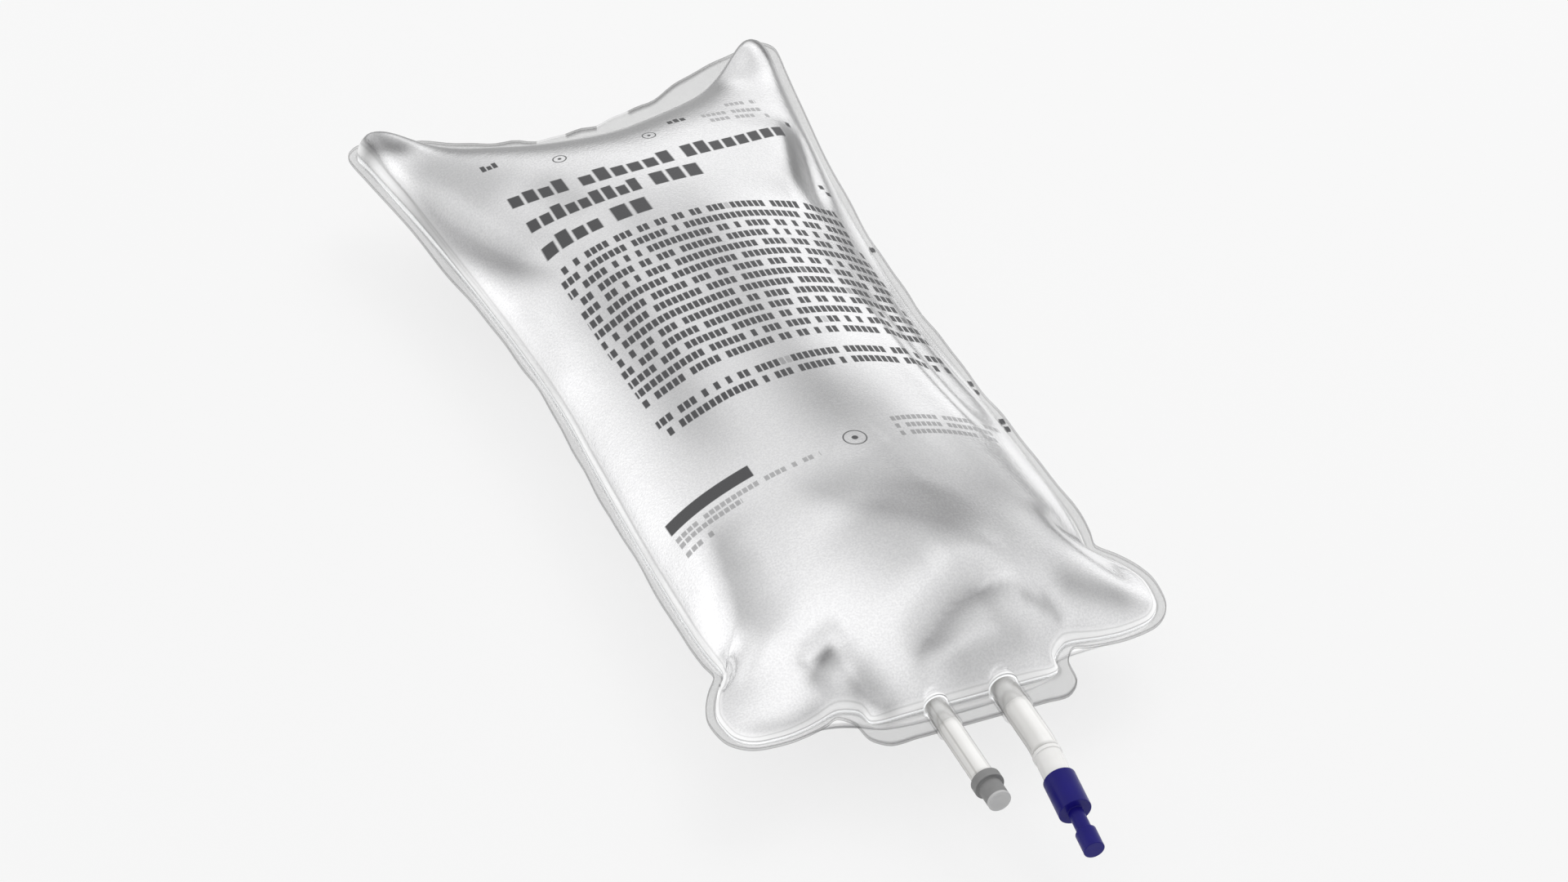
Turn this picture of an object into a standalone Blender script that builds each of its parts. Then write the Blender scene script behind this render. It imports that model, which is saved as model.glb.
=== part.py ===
"""One-litre clear infusion bag, filled and lying on its back.

Units are metres. The bag is drawn in its own plan: y = 0 at the foot of the pouch, +y towards the hanger
end, z = 0 in the plane where the two films are welded. The root empty then puts the origin on the surface
that the bag lies on, under the middle of its bounding box: +Y to the hanger end, -Y to the ports, +Z up.
"""
import math

import bmesh
import bpy
import numpy as np
from mathutils import Vector

# Plan of the bag at the outer edge of the welded flange: the flat sheet's half width, which the ears keep, and
# how far the filled bag pulls in from it
BODY_LENGTH = 0.290
HALF_WIDTH = 0.0672
EAR_RADIUS = 0.0065
EAR_DEPTH = 0.0143
HANGER_BOW = 0.0185
HANGER_BOW_POWER = 1.5
WAIST_PULL_IN = 0.0112
WAIST_Y = 0.150
SHOULDER_POWER = 1.8
HIP_PULL_IN = 0.0077
HIP_Y = 0.055
SIDE_PINCH_PULL_IN = 0.0092
SIDE_PINCH_Y = 0.0370
LOBE_PULL_IN = 0.0007
LOBE_MIDDLE_Y = 0.0180
LOBE_FOOT_Y = 0.0020
LOBE_SKEW = 0.0026
LOBE_SKEW_AT_PINCH = 0.0057
LOBE_ROUNDNESS = 0.8
NOTCH_HALF_WIDTH = 0.0345
NOTCH_Y = 0.0050
PANEL_HALF_WIDTH = 0.0300
PANEL_CORNER = 0.0045
PANEL_FOOT_Y = -0.0110
PANEL_SHOULDER = 0.0010
PANEL_SHOULDER_DROP = 0.0045
WELD_STEP = 0.0012

WAIST_HALF_WIDTH = HALF_WIDTH - WAIST_PULL_IN
HIP_HALF_WIDTH = HALF_WIDTH - HIP_PULL_IN
SIDE_PINCH_HALF_WIDTH = HALF_WIDTH - SIDE_PINCH_PULL_IN
LOBE_HALF_WIDTH = HALF_WIDTH - LOBE_PULL_IN

# Widths of the welded flange
SIDE_FLANGE = 0.0040
HANGER_FLANGE = 0.0150
HANGER_FLANGE_FADE = 0.8
PANEL_FLANGE = 0.0095

# The filled pouch
SEAM_HEIGHT = 0.0225
FRONT_RISE = 0.0275
FRONT_SLOPE = 0.78
FRONT_SLOPE_AT_HANGER = 0.50
SLOPE_FROM_Y = 0.185
SLOPE_TO_Y = 0.240
BACK_FULLNESS = 0.0260
BACK_POWER = 2.3
FILM = 0.0004
GAP = 0.0003
FLUID_EDGE = 0.0007
SLEEVE_REACH = 0.0030

# Hanger slot
SLOT_WIDTH = 0.0220
SLOT_HEIGHT = 0.0056

# Injection port
INJECTION_X = -0.0087
INJECTION_TUBE_D = 0.0063
INJECTION_TUBE_WALL = 0.0009
INJECTION_TUBE_LENGTH = 0.0312
INJECTION_DROOP = math.radians(1.5)
INJECTION_LEAN = math.radians(0.8)
STOPPER_COLLAR_D = 0.0084
STOPPER_COLLAR_LENGTH = 0.0028
STOPPER_BODY_D = 0.0065
STOPPER_BODY_LENGTH = 0.0062
STOPPER_PLUG_LENGTH = 0.0060
STOPPER_DIMPLE = 0.0018

# Administration port
OUTLET_X = 0.0108
OUTLET_TUBE_D = 0.0077
OUTLET_TUBE_WALL = 0.0010
OUTLET_TUBE_LENGTH = 0.0276
OUTLET_DROOP = math.radians(7.5)
OUTLET_LEAN = math.radians(-3.5)
INLET_PLUG_LENGTH = 0.0035
INLET_RING_D = 0.0081
INLET_RING_LENGTH = 0.0012
INLET_BODY_D = 0.0076
INLET_BODY_LENGTH = 0.0078
INLET_SPIGOT_D = 0.0058
INLET_SPIGOT_LENGTH = 0.0100
INLET_BORE_D = 0.0036
MEMBRANE = 0.0006
MEMBRANE_DEPTH = 0.0125

# Pull-off closure
CLOSURE_COLLAR_D = 0.0091
CLOSURE_COLLAR_LENGTH = 0.0117
CLOSURE_NECK_D = 0.0042
CLOSURE_NECK_LENGTH = 0.0074
CLOSURE_KNOB_D = 0.0058
CLOSURE_KNOB_LENGTH = 0.0064
EDGE = 0.0004

# Folds of the front film: centre x and y, half length, half width, angle from +x in degrees, and height
FRONT_FOLDS = (
    (0.005, 0.015, 0.024, 0.0075, 30.0, -0.0040),
    (-0.008, 0.032, 0.024, 0.0090, 48.0, 0.0016),
    (-0.034, 0.016, 0.012, 0.0050, 35.0, -0.0034),
    (-0.043, 0.045, 0.026, 0.0060, 97.0, -0.0022),
    (0.046, 0.030, 0.022, 0.0060, 112.0, -0.0030),
    (0.008, 0.066, 0.022, 0.0140, 62.0, -0.0026),
    (0.004, 0.115, 0.042, 0.0090, 92.0, -0.0012),
    (-0.0485, 0.228, 0.027, 0.0070, 111.0, -0.0040),
    (0.044, 0.222, 0.026, 0.0070, 72.0, -0.0044),
    (-0.057, 0.278, 0.011, 0.0080, 125.0, 0.0075),
    (0.056, 0.278, 0.012, 0.0080, 55.0, 0.0085),
)

# How finely the films are divided
SIDE_STEPS = 19
HANGER_STEPS = 7
EAR_ANGLES = (90, 50, 10)
END_CLUSTER = 0.35
FOOT_CLUSTER = 1.2
LOBE_SHARES = (0.25, 0.5, 0.75, 1.0)
NOTCH_SHARES = (0.3, 0.55, 0.8)
SLOT_END_STEPS = 8
POUCH_BANDS = 7
RUNG_STEPS = 4
CROWN = 0.36
CROWN_SQUARENESS = 2.6
CROWN_END = 1.5
PLEAT_FADE = 2.0
FOLD_FADE = 1.6
SMOOTHING = 12
RIDGE_STEPS = 6
TUBE_SIDES = 20
TUBE_BENDS = 7
BEND_START = 0.68
BEND_POWER = 0.6
MERGE = 0.00001


def clear_scene():
    for ob in list(bpy.data.objects):
        bpy.data.objects.remove(ob, do_unlink=True)


def material(name, colour, roughness, alpha=1.0):
    mat = bpy.data.materials.new(name)
    mat.use_nodes = True
    shader = mat.node_tree.nodes["Principled BSDF"]
    shader.inputs["Base Color"].default_value = (*colour, 1.0)
    shader.inputs["Roughness"].default_value = roughness
    shader.inputs["Metallic"].default_value = 0.0
    shader.inputs["Alpha"].default_value = alpha
    return mat


def collection(name):
    group = bpy.data.collections.new(name)
    bpy.context.scene.collection.children.link(group)
    return group


def place(ob, group, mat=None, parent=None):
    group.objects.link(ob)
    if mat:
        ob.data.materials.append(mat)
    if parent:
        ob.parent = parent
    return ob


def hanger_y(x):
    """Outer edge of the hanger end, which bows in between the ears."""
    reach = min(abs(x) / (HALF_WIDTH - EAR_RADIUS), 1.0)
    return BODY_LENGTH - HANGER_BOW * (1.0 - reach**HANGER_BOW_POWER)


def side_x(y):
    """Half width of the outer edge between the ears and the side pinches."""
    if y > WAIST_Y:
        rise = (y - WAIST_Y) / (BODY_LENGTH - EAR_RADIUS - WAIST_Y)
        return WAIST_HALF_WIDTH + (HALF_WIDTH - WAIST_HALF_WIDTH) * rise**SHOULDER_POWER
    if y > HIP_Y:
        fall = (WAIST_Y - y) / (WAIST_Y - HIP_Y)
        return WAIST_HALF_WIDTH + (HIP_HALF_WIDTH - WAIST_HALF_WIDTH) * math.sin(fall * math.pi / 2)
    fall = (HIP_Y - y) / (HIP_Y - SIDE_PINCH_Y)
    return HIP_HALF_WIDTH - (HIP_HALF_WIDTH - SIDE_PINCH_HALF_WIDTH) * fall**2


def hanger_half():
    """(x, y, flange width) along the hanger end, from its middle to the ear."""
    end = HALF_WIDTH - 2 * EAR_RADIUS
    rows = []
    for i in range(HANGER_STEPS):
        x = end * i / (HANGER_STEPS - 1)
        fade = max(math.cos(x / end * math.pi / 2), 0.0) ** HANGER_FLANGE_FADE
        rows.append((x, hanger_y(x), SIDE_FLANGE + (HANGER_FLANGE - SIDE_FLANGE) * fade, None))
    return rows


def ear_half():
    """The rounded ear."""
    cx, cy = HALF_WIDTH - EAR_RADIUS, BODY_LENGTH - EAR_RADIUS
    weld_radius = EAR_RADIUS - SIDE_FLANGE
    rows = []
    for angle in EAR_ANGLES:
        x, y = math.cos(math.radians(angle)), math.sin(math.radians(angle))
        weld = (cx + weld_radius * x, cy + weld_radius * y)
        rows.append((cx + EAR_RADIUS * x, cy + EAR_RADIUS * y, None, weld))
    return rows


def side_half():
    """Down the side, from below the ear to the side pinch, with closer steps at the hip."""
    top = BODY_LENGTH - EAR_DEPTH
    rows = []
    for i in range(SIDE_STEPS + 1):
        share = 1.0 - (1.0 - i / SIDE_STEPS) ** FOOT_CLUSTER
        share += END_CLUSTER * ((1.0 - math.cos(math.pi * share)) / 2 - share)
        y = top + (SIDE_PINCH_Y - top) * share
        rows.append((side_x(y), y, SIDE_FLANGE, None))
    return rows


def lobe_half():
    """Round the lobe from the side pinch to the notch beside the panel."""
    swell = LOBE_HALF_WIDTH - SIDE_PINCH_HALF_WIDTH
    shoulder = SIDE_PINCH_Y - LOBE_MIDDLE_Y
    foot_x = (LOBE_HALF_WIDTH + NOTCH_HALF_WIDTH) / 2
    rows = []
    for share in LOBE_SHARES:
        x = SIDE_PINCH_HALF_WIDTH + swell * math.sin(share * math.pi / 2)
        rows.append((x, SIDE_PINCH_Y - shoulder * share, SIDE_FLANGE, None))
    for share in LOBE_SHARES:
        turn = share * math.pi / 2
        x = foot_x + (LOBE_HALF_WIDTH - foot_x) * math.cos(turn) ** LOBE_ROUNDNESS
        y = LOBE_MIDDLE_Y - (LOBE_MIDDLE_Y - LOBE_FOOT_Y) * math.sin(turn) ** LOBE_ROUNDNESS
        rows.append((x, y, SIDE_FLANGE, None))
    for share in NOTCH_SHARES:
        x = foot_x + (NOTCH_HALF_WIDTH - foot_x) * share
        rows.append((x, LOBE_FOOT_Y + (NOTCH_Y - LOBE_FOOT_Y) * share**2, SIDE_FLANGE, None))
    return rows


def panel_half(port_x, port_d):
    """From the notch round the panel's corner and along its foot to the middle, past one port."""
    weld_y = PANEL_FOOT_Y + PANEL_FLANGE
    corner_x = PANEL_HALF_WIDTH - PANEL_CORNER
    weld_x = PANEL_HALF_WIDTH - SIDE_FLANGE
    rows = [
        (NOTCH_HALF_WIDTH, NOTCH_Y, SIDE_FLANGE, None),
        (PANEL_HALF_WIDTH + PANEL_SHOULDER, NOTCH_Y - PANEL_SHOULDER_DROP, None,
         (weld_x + PANEL_SHOULDER, NOTCH_Y - PANEL_SHOULDER)),
        (PANEL_HALF_WIDTH, PANEL_FOOT_Y + PANEL_CORNER, None, (weld_x, weld_y + WELD_STEP)),
        (corner_x, PANEL_FOOT_Y, None, (min(corner_x, weld_x) - WELD_STEP, weld_y)),
    ]
    ridge = ridge_radius(port_d)
    outer = abs(port_x) + ridge
    foot = [(corner_x + outer) / 2, outer + WELD_STEP]
    foot += [abs(port_x) + ridge * math.cos(math.pi * i / RIDGE_STEPS) for i in range(RIDGE_STEPS + 1)]
    foot.append(abs(port_x) - ridge - WELD_STEP)
    return rows + [(x, PANEL_FOOT_Y, None, (x, weld_y)) for x in foot]


def ridge_radius(port_d):
    """Radius of the film's half-round sleeve, whose facets keep the gap to the tube."""
    return (port_d / 2 + GAP) / math.cos(math.pi / RIDGE_STEPS / 2)


def half_outline(port_x, port_d):
    return hanger_half() + ear_half() + side_half() + lobe_half() + panel_half(port_x, port_d)


def smooth_ring(ring, passes):
    for _ in range(passes):
        ring = (np.roll(ring, 1, axis=0) + 2 * ring + np.roll(ring, -1, axis=0)) / 4
    return ring


def skewed(ring):
    """One lobe sits a little lower than the other; the skew fades out up the sides."""
    beside = np.clip((np.abs(ring[:, 0]) - PANEL_HALF_WIDTH) / (LOBE_HALF_WIDTH - PANEL_HALF_WIDTH), 0, 1)
    up = np.interp(ring[:, 1], (LOBE_FOOT_Y, SIDE_PINCH_Y, WAIST_Y), (LOBE_SKEW, LOBE_SKEW_AT_PINCH, 0.0))
    return ring + np.column_stack([np.zeros(len(ring)), np.sign(ring[:, 0]) * up * np.sqrt(beside)])


def outline():
    """Outer edge and weld line as matching rings, clockwise from the middle of the hanger end."""
    right = half_outline(OUTLET_X, OUTLET_TUBE_D)
    left = half_outline(INJECTION_X, INJECTION_TUBE_D)
    middle = (0.0, PANEL_FOOT_Y, None, (0.0, PANEL_FOOT_Y + PANEL_FLANGE))
    rows = right + [middle] + left[:0:-1]
    side = np.array([1.0] * (len(right) + 1) + [-1.0] * (len(left) - 1))
    edge = np.array([row[:2] for row in rows])
    edge[:, 0] *= side
    along = np.roll(edge, -1, axis=0) - np.roll(edge, 1, axis=0)
    inward = np.stack([along[:, 1], -along[:, 0]], axis=1)
    inward /= np.linalg.norm(inward, axis=1)[:, None]
    weld = np.array([
        (s * row[3][0], row[3][1]) if row[3] else tuple(point + normal * row[2])
        for row, s, point, normal in zip(rows, side, edge, inward)
    ])
    return skewed(edge), skewed(weld)


def crown_loop(ring):
    """The innermost ring, an ellipse about the middle of the pouch."""
    centre_y = (ring[:, 1].max() + ring[:, 1].min()) / 2
    half_length = (ring[:, 1].max() - ring[:, 1].min()) / 2
    half_width = np.abs(ring[:, 0]).max()
    turn = np.arctan2((ring[:, 1] - centre_y) / half_length, ring[:, 0] / half_width)
    size = np.array([CROWN * WAIST_HALF_WIDTH, half_length - (1 - CROWN) * WAIST_HALF_WIDTH * CROWN_END])
    power = CROWN_SQUARENESS
    square = (np.abs(np.cos(turn)) ** power + np.abs(np.sin(turn)) ** power) ** (-1 / power)
    loop = np.stack([np.cos(turn), np.sin(turn)], axis=1) * square[:, None] * size + (0.0, centre_y)
    return loop, size, centre_y


def pouch_plan(edge, weld):
    """Plan points of the whole film with their distance out from the crown, 1 on the weld line and beyond."""
    count = len(weld)
    soft = smooth_ring(weld, SMOOTHING)
    loop, size, centre_y = crown_loop(soft)
    rings, out = [edge, weld], [np.ones(count), np.ones(count)]
    last_turn = math.acos(CROWN)
    for band in range(1, POUCH_BANDS + 1):
        reach = math.cos(last_turn * band / POUCH_BANDS)
        share = (reach - CROWN) / (1 - CROWN)
        rings.append(loop + share * (soft - loop) + share**PLEAT_FADE * (weld - soft))
        out.append(np.full(count, reach))
    inner = []
    for k in range(1, count // 2):
        right, left = rings[-1][k], rings[-1][count - k]
        for step in range(1, RUNG_STEPS):
            inner.append(right + (left - right) * step / RUNG_STEPS)
    inner = np.array(inner)
    inner_out = CROWN * np.sqrt((inner[:, 0] / size[0]) ** 2 + ((inner[:, 1] - centre_y) / size[1]) ** 2)
    plan = np.concatenate(rings + [inner])
    return plan, np.concatenate(out + [np.minimum(inner_out, CROWN)]), len(rings)


def sleeve(plan):
    """Height of the half-round ridges that the film makes over the two tubes."""
    height = np.zeros(len(plan))
    for x, d in ((INJECTION_X, INJECTION_TUBE_D), (OUTLET_X, OUTLET_TUBE_D)):
        inside = ridge_radius(d) ** 2 - (plan[:, 0] - x) ** 2
        near = plan[:, 1] < PANEL_FOOT_Y + PANEL_FLANGE + SLEEVE_REACH
        height = np.maximum(height, np.where(near, np.sqrt(np.maximum(inside, 0.0)), 0.0))
    return height


def folds(plan):
    height = np.zeros(len(plan))
    for x, y, half_length, half_width, angle, depth in FRONT_FOLDS:
        a = math.radians(angle)
        dx, dy = plan[:, 0] - x, plan[:, 1] - y
        along = (dx * math.cos(a) + dy * math.sin(a)) / half_length
        across = (dy * math.cos(a) - dx * math.sin(a)) / half_width
        height += depth * np.exp(-(along**2) - across**2)
    return height


def front_height(plan, out):
    """Inner face of the front film above the weld plane: a crown, fuller at the hanger end, with its folds."""
    power = np.interp(plan[:, 1], (SLOPE_FROM_Y, SLOPE_TO_Y), (FRONT_SLOPE, FRONT_SLOPE_AT_HANGER))
    dome = np.maximum(1.0 - out**2, 0.0) ** power
    raised = FRONT_RISE * dome + folds(plan) * np.minimum(dome * FOLD_FADE, 1.0)
    return np.maximum(raised, sleeve(plan)) + GAP / 2


def back_height(plan, out):
    """Inner face of the back film, as a depth below the weld plane, pressed flat where the bag lies."""
    dome = np.sqrt(np.maximum(1.0 - out**BACK_POWER, 0.0))
    pressed = np.minimum(BACK_FULLNESS * dome, SEAM_HEIGHT - FILM - GAP / 2)
    return np.maximum(pressed, sleeve(plan)) + GAP / 2


def fan_faces(count, first_ring, inner_start):
    """Faces that fill the innermost ring with rungs from side to side."""
    rungs = [[first_ring]]
    for k in range(1, count // 2):
        start = inner_start + (k - 1) * (RUNG_STEPS - 1)
        middle = list(range(start, start + RUNG_STEPS - 1))
        rungs.append([first_ring + k] + middle + [first_ring + count - k])
    rungs.append([first_ring + count // 2])
    faces = []
    for upper, lower in zip(rungs, rungs[1:]):
        for i in range(RUNG_STEPS):
            corners = [upper[min(i, len(upper) - 1)], lower[min(i, len(lower) - 1)],
                       lower[min(i + 1, len(lower) - 1)], upper[min(i + 1, len(upper) - 1)]]
            faces.append(list(dict.fromkeys(corners)))
    return faces


def band_faces(count, rings, first=0):
    faces = []
    for ring in range(first, rings - 1):
        for i in range(count):
            j = (i + 1) % count
            a, b = ring * count, (ring + 1) * count
            faces.append([a + i, a + j, b + j, b + i])
    return faces


def surface(name, points, faces, upward):
    mesh = bpy.data.meshes.new(name)
    turned_faces = faces if upward else [face[::-1] for face in faces]
    mesh.from_pydata([tuple(p) for p in points], [], turned_faces)
    mesh.update()
    return mesh


def film(name, sign, cutter, group, mat, root):
    """One film: a sheet over pouch and flange, given its thickness outwards, with the hanger slot cut."""
    edge, weld = outline()
    plan, out, rings = pouch_plan(edge, weld)
    count = len(weld)
    height = front_height(plan, out) if sign > 0 else -back_height(plan, out)
    faces = band_faces(count, rings) + fan_faces(count, (rings - 1) * count, rings * count)
    mesh = surface(name, np.column_stack([plan, height]), faces, sign < 0)
    mesh.shade_smooth()
    ob = place(bpy.data.objects.new(name, mesh), group, mat, root)
    wall = ob.modifiers.new("film thickness", "SOLIDIFY")
    wall.thickness = FILM
    wall.offset = 1.0
    slot = ob.modifiers.new("hanger slot", "BOOLEAN")
    slot.operation = "DIFFERENCE"
    slot.object = cutter
    slot.solver = "EXACT"
    return ob


def fluid(group, mat, root):
    """The saline: the inside of both films, held clear of them, closed along its edge."""
    edge, weld = outline()
    plan, out, rings = pouch_plan(edge, weld)
    count = len(weld)
    faces = band_faces(count, rings, 1) + fan_faces(count, (rings - 1) * count, rings * count)
    sides = {}
    for sign in (1, -1):
        height = front_height(plan, out) if sign > 0 else -back_height(plan, out)
        mesh = surface("side", np.column_stack([plan, height]), faces, sign < 0)
        moved = [v.co - v.normal * GAP for v in mesh.vertices]
        sides[sign] = np.array([tuple(p) for p in moved])
        bpy.data.meshes.remove(mesh)
    inner_ring = plan[2 * count:3 * count]
    step = inner_ring - weld
    step /= np.linalg.norm(step, axis=1)[:, None]
    rim = np.column_stack([weld + step * FLUID_EDGE, np.zeros(count)])
    keep = slice(2 * count, None)
    points = np.concatenate([rim, sides[1][keep], sides[-1][keep]])
    body = len(sides[1][keep])
    front = band_faces(count, rings - 1) + fan_faces(count, (rings - 2) * count, (rings - 1) * count)

    def back_index(i):
        return i if i < count else i + body

    back = [[back_index(i) for i in face[::-1]] for face in front]
    mesh = surface("saline", points, front + back, False)
    mesh.shade_smooth()
    return place(bpy.data.objects.new("saline", mesh), group, mat, root)


def slot_cutter(group, root):
    """A round-ended slot through both films, in the middle of the hanger flange."""
    y = BODY_LENGTH - HANGER_BOW - HANGER_FLANGE / 2
    curve = bpy.data.curves.new("slot outline", "CURVE")
    curve.dimensions = "2D"
    curve.fill_mode = "BOTH"
    curve.extrude = SLOT_HEIGHT
    line = curve.splines.new("POLY")
    points = []
    for side, start in ((1, -90), (-1, 90)):
        for i in range(SLOT_END_STEPS + 1):
            a = math.radians(start + 180 * i / SLOT_END_STEPS)
            x = side * (SLOT_WIDTH - SLOT_HEIGHT) / 2
            points.append((x + SLOT_HEIGHT / 2 * math.cos(a), SLOT_HEIGHT / 2 * math.sin(a), 0.0, 1.0))
    line.points.add(len(points) - 1)
    for point, co in zip(line.points, points):
        point.co = co
    line.use_cyclic_u = True
    guide = bpy.data.objects.new("slot outline", curve)
    group.objects.link(guide)
    ob = as_mesh(guide, "slot_cutter", group)
    ob.parent = root
    ob.location = (0.0, y, 0.0)
    ob.hide_render = True
    ob.display_type = "WIRE"
    return ob


def as_mesh(curve_ob, name, group):
    """The curve object's evaluated mesh, with its caps welded on."""
    dg = bpy.context.evaluated_depsgraph_get()
    dg.update()
    mesh = bpy.data.meshes.new_from_object(curve_ob.evaluated_get(dg))
    work = bmesh.new()
    work.from_mesh(mesh)
    bmesh.ops.remove_doubles(work, verts=work.verts, dist=MERGE)
    bmesh.ops.recalc_face_normals(work, faces=work.faces)
    work.to_mesh(mesh)
    work.free()
    ob = bpy.data.objects.new(name, mesh)
    ob.matrix_world = curve_ob.matrix_world
    group.objects.link(ob)
    bpy.data.objects.remove(curve_ob, do_unlink=True)
    return ob


def port_route(x, length, droop, lean):
    """Centre line of a port tube: straight through the panel, then bending to its droop and lean."""
    start_y = PANEL_FOOT_Y + PANEL_FLANGE
    straight = PANEL_FLANGE + WELD_STEP
    points = [Vector((x, start_y, 0.0)), Vector((x, start_y - straight, 0.0))]
    step = (length - straight) / TUBE_BENDS
    for i in range(TUBE_BENDS):
        turn = max(0.0, ((i + 0.5) / TUBE_BENDS - BEND_START) / (1.0 - BEND_START)) ** BEND_POWER
        points.append(points[-1] + port_direction(droop * turn, lean * turn) * step)
    return points


def port_direction(droop, lean):
    return Vector((math.sin(lean) * math.cos(droop), -math.cos(lean) * math.cos(droop), -math.sin(droop)))


def port_tube(name, x, outer_d, wall_width, length, droop, lean, group, mat, root):
    """An extruded tube welded between the films; returns it and an empty on its open end."""
    route = port_route(x, length, droop, lean)
    curve = bpy.data.curves.new(name, "CURVE")
    curve.dimensions = "3D"
    curve.bevel_depth = outer_d / 2
    curve.bevel_resolution = TUBE_SIDES // 2 - 2
    curve.use_fill_caps = False
    line = curve.splines.new("POLY")
    line.points.add(len(route) - 1)
    for point, co in zip(line.points, route):
        point.co = (*co, 1.0)
    guide = bpy.data.objects.new(name + " route", curve)
    group.objects.link(guide)
    ob = as_mesh(guide, name, group)
    ob.data.shade_smooth()
    ob.data.materials.append(mat)
    ob.parent = root
    wall = ob.modifiers.new("wall", "SOLIDIFY")
    wall.thickness = wall_width
    wall.offset = -1.0
    wall.use_even_offset = True
    end = bpy.data.objects.new(name + " end", None)
    group.objects.link(end)
    end.parent = root
    end.location = route[-1]
    end.rotation_mode = "QUATERNION"
    end.rotation_quaternion = port_direction(droop, lean).to_track_quat("Z", "Y")
    return ob, end


def turned(name, profile, group, mat, parent):
    """A solid turned about its parent's Z axis from a profile of (radius, height), top to bottom."""
    mesh = bpy.data.meshes.new(name)
    mesh.from_pydata([(r, 0.0, z) for r, z in profile], [(i, i + 1) for i in range(len(profile) - 1)], [])
    ob = place(bpy.data.objects.new(name, mesh), group, mat, parent)
    spin = ob.modifiers.new("turning", "SCREW")
    spin.axis = "Z"
    spin.steps = spin.render_steps = TUBE_SIDES
    spin.use_merge_vertices = True
    spin.merge_threshold = MERGE
    spin.use_smooth_shade = True
    return ob


def stopper(group, mat, end):
    """Resealable stopper: a plug in the tube's bore, a collar on its end face and a round body."""
    collar, body = STOPPER_COLLAR_D / 2, STOPPER_BODY_D / 2
    plug = bore_plug(INJECTION_TUBE_D, INJECTION_TUBE_WALL)
    collar_top = GAP + STOPPER_COLLAR_LENGTH
    top = collar_top + STOPPER_BODY_LENGTH
    profile = [
        (0.0, top - EDGE), (STOPPER_DIMPLE, top - EDGE), (STOPPER_DIMPLE + EDGE, top), (body - EDGE, top),
        (body, top - EDGE), (body, collar_top), (collar - EDGE, collar_top), (collar, collar_top - EDGE),
        (collar, GAP + EDGE), (collar - EDGE, GAP), (plug, GAP), (plug, EDGE - STOPPER_PLUG_LENGTH),
        (plug - EDGE, -STOPPER_PLUG_LENGTH), (0.0, -STOPPER_PLUG_LENGTH),
    ]
    return turned("injection_stopper", profile, group, mat, end)


def bore_plug(tube_d, wall_width):
    """Radius of what plugs into a tube's bore with the usual gap."""
    return tube_d / 2 - wall_width - GAP


def inlet_levels():
    """Heights along the administration port, from the tube's end outwards: ring, body, spigot."""
    ring_top = GAP + INLET_RING_LENGTH
    body_top = ring_top + INLET_BODY_LENGTH
    return ring_top, body_top, body_top + INLET_SPIGOT_LENGTH


def membrane_tube(group, mat, end):
    """Inner port tube: plugged into the port, with a ring, and a membrane that the set's spike pierces."""
    ring_top, body_top, spigot_top = inlet_levels()
    plug = bore_plug(OUTLET_TUBE_D, OUTLET_TUBE_WALL)
    bore, spigot, body, ring = INLET_BORE_D / 2, INLET_SPIGOT_D / 2, INLET_BODY_D / 2, INLET_RING_D / 2
    web_top = spigot_top - MEMBRANE_DEPTH
    profile = [
        (0.0, web_top), (bore, web_top), (bore, spigot_top), (spigot - EDGE, spigot_top),
        (spigot, spigot_top - EDGE), (spigot, body_top), (body, body_top), (body, ring_top),
        (ring - EDGE / 2, ring_top), (ring, ring_top - EDGE), (ring, GAP + EDGE), (ring - EDGE / 2, GAP),
        (plug, GAP), (plug, -INLET_PLUG_LENGTH), (bore, -INLET_PLUG_LENGTH), (bore, web_top - MEMBRANE),
        (0.0, web_top - MEMBRANE),
    ]
    return turned("membrane_tube", profile, group, mat, end)


def closure(group, mat, end):
    """Pull-off closure: a collar over the spigot, a thin neck and a knob. Its origin is on the slide axis."""
    _, body_top, spigot_top = inlet_levels()
    seat = body_top + GAP
    collar, neck, knob = CLOSURE_COLLAR_D / 2, CLOSURE_NECK_D / 2, CLOSURE_KNOB_D / 2
    bore = INLET_SPIGOT_D / 2 + GAP
    collar_top = CLOSURE_COLLAR_LENGTH
    knob_foot = collar_top + CLOSURE_NECK_LENGTH
    top = knob_foot + CLOSURE_KNOB_LENGTH
    bore_top = spigot_top + GAP - seat
    profile = [
        (0.0, top), (knob - EDGE, top), (knob, top - EDGE), (knob, knob_foot + EDGE), (knob - EDGE, knob_foot),
        (neck, knob_foot), (neck, collar_top), (collar - EDGE, collar_top), (collar, collar_top - EDGE),
        (collar, EDGE / 2), (collar - EDGE / 2, 0.0), (bore, 0.0), (bore, bore_top), (0.0, bore_top),
    ]
    ob = turned("port_closure", profile, group, mat, end)
    ob.location = (0.0, 0.0, seat)
    return ob, seat + top


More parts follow.
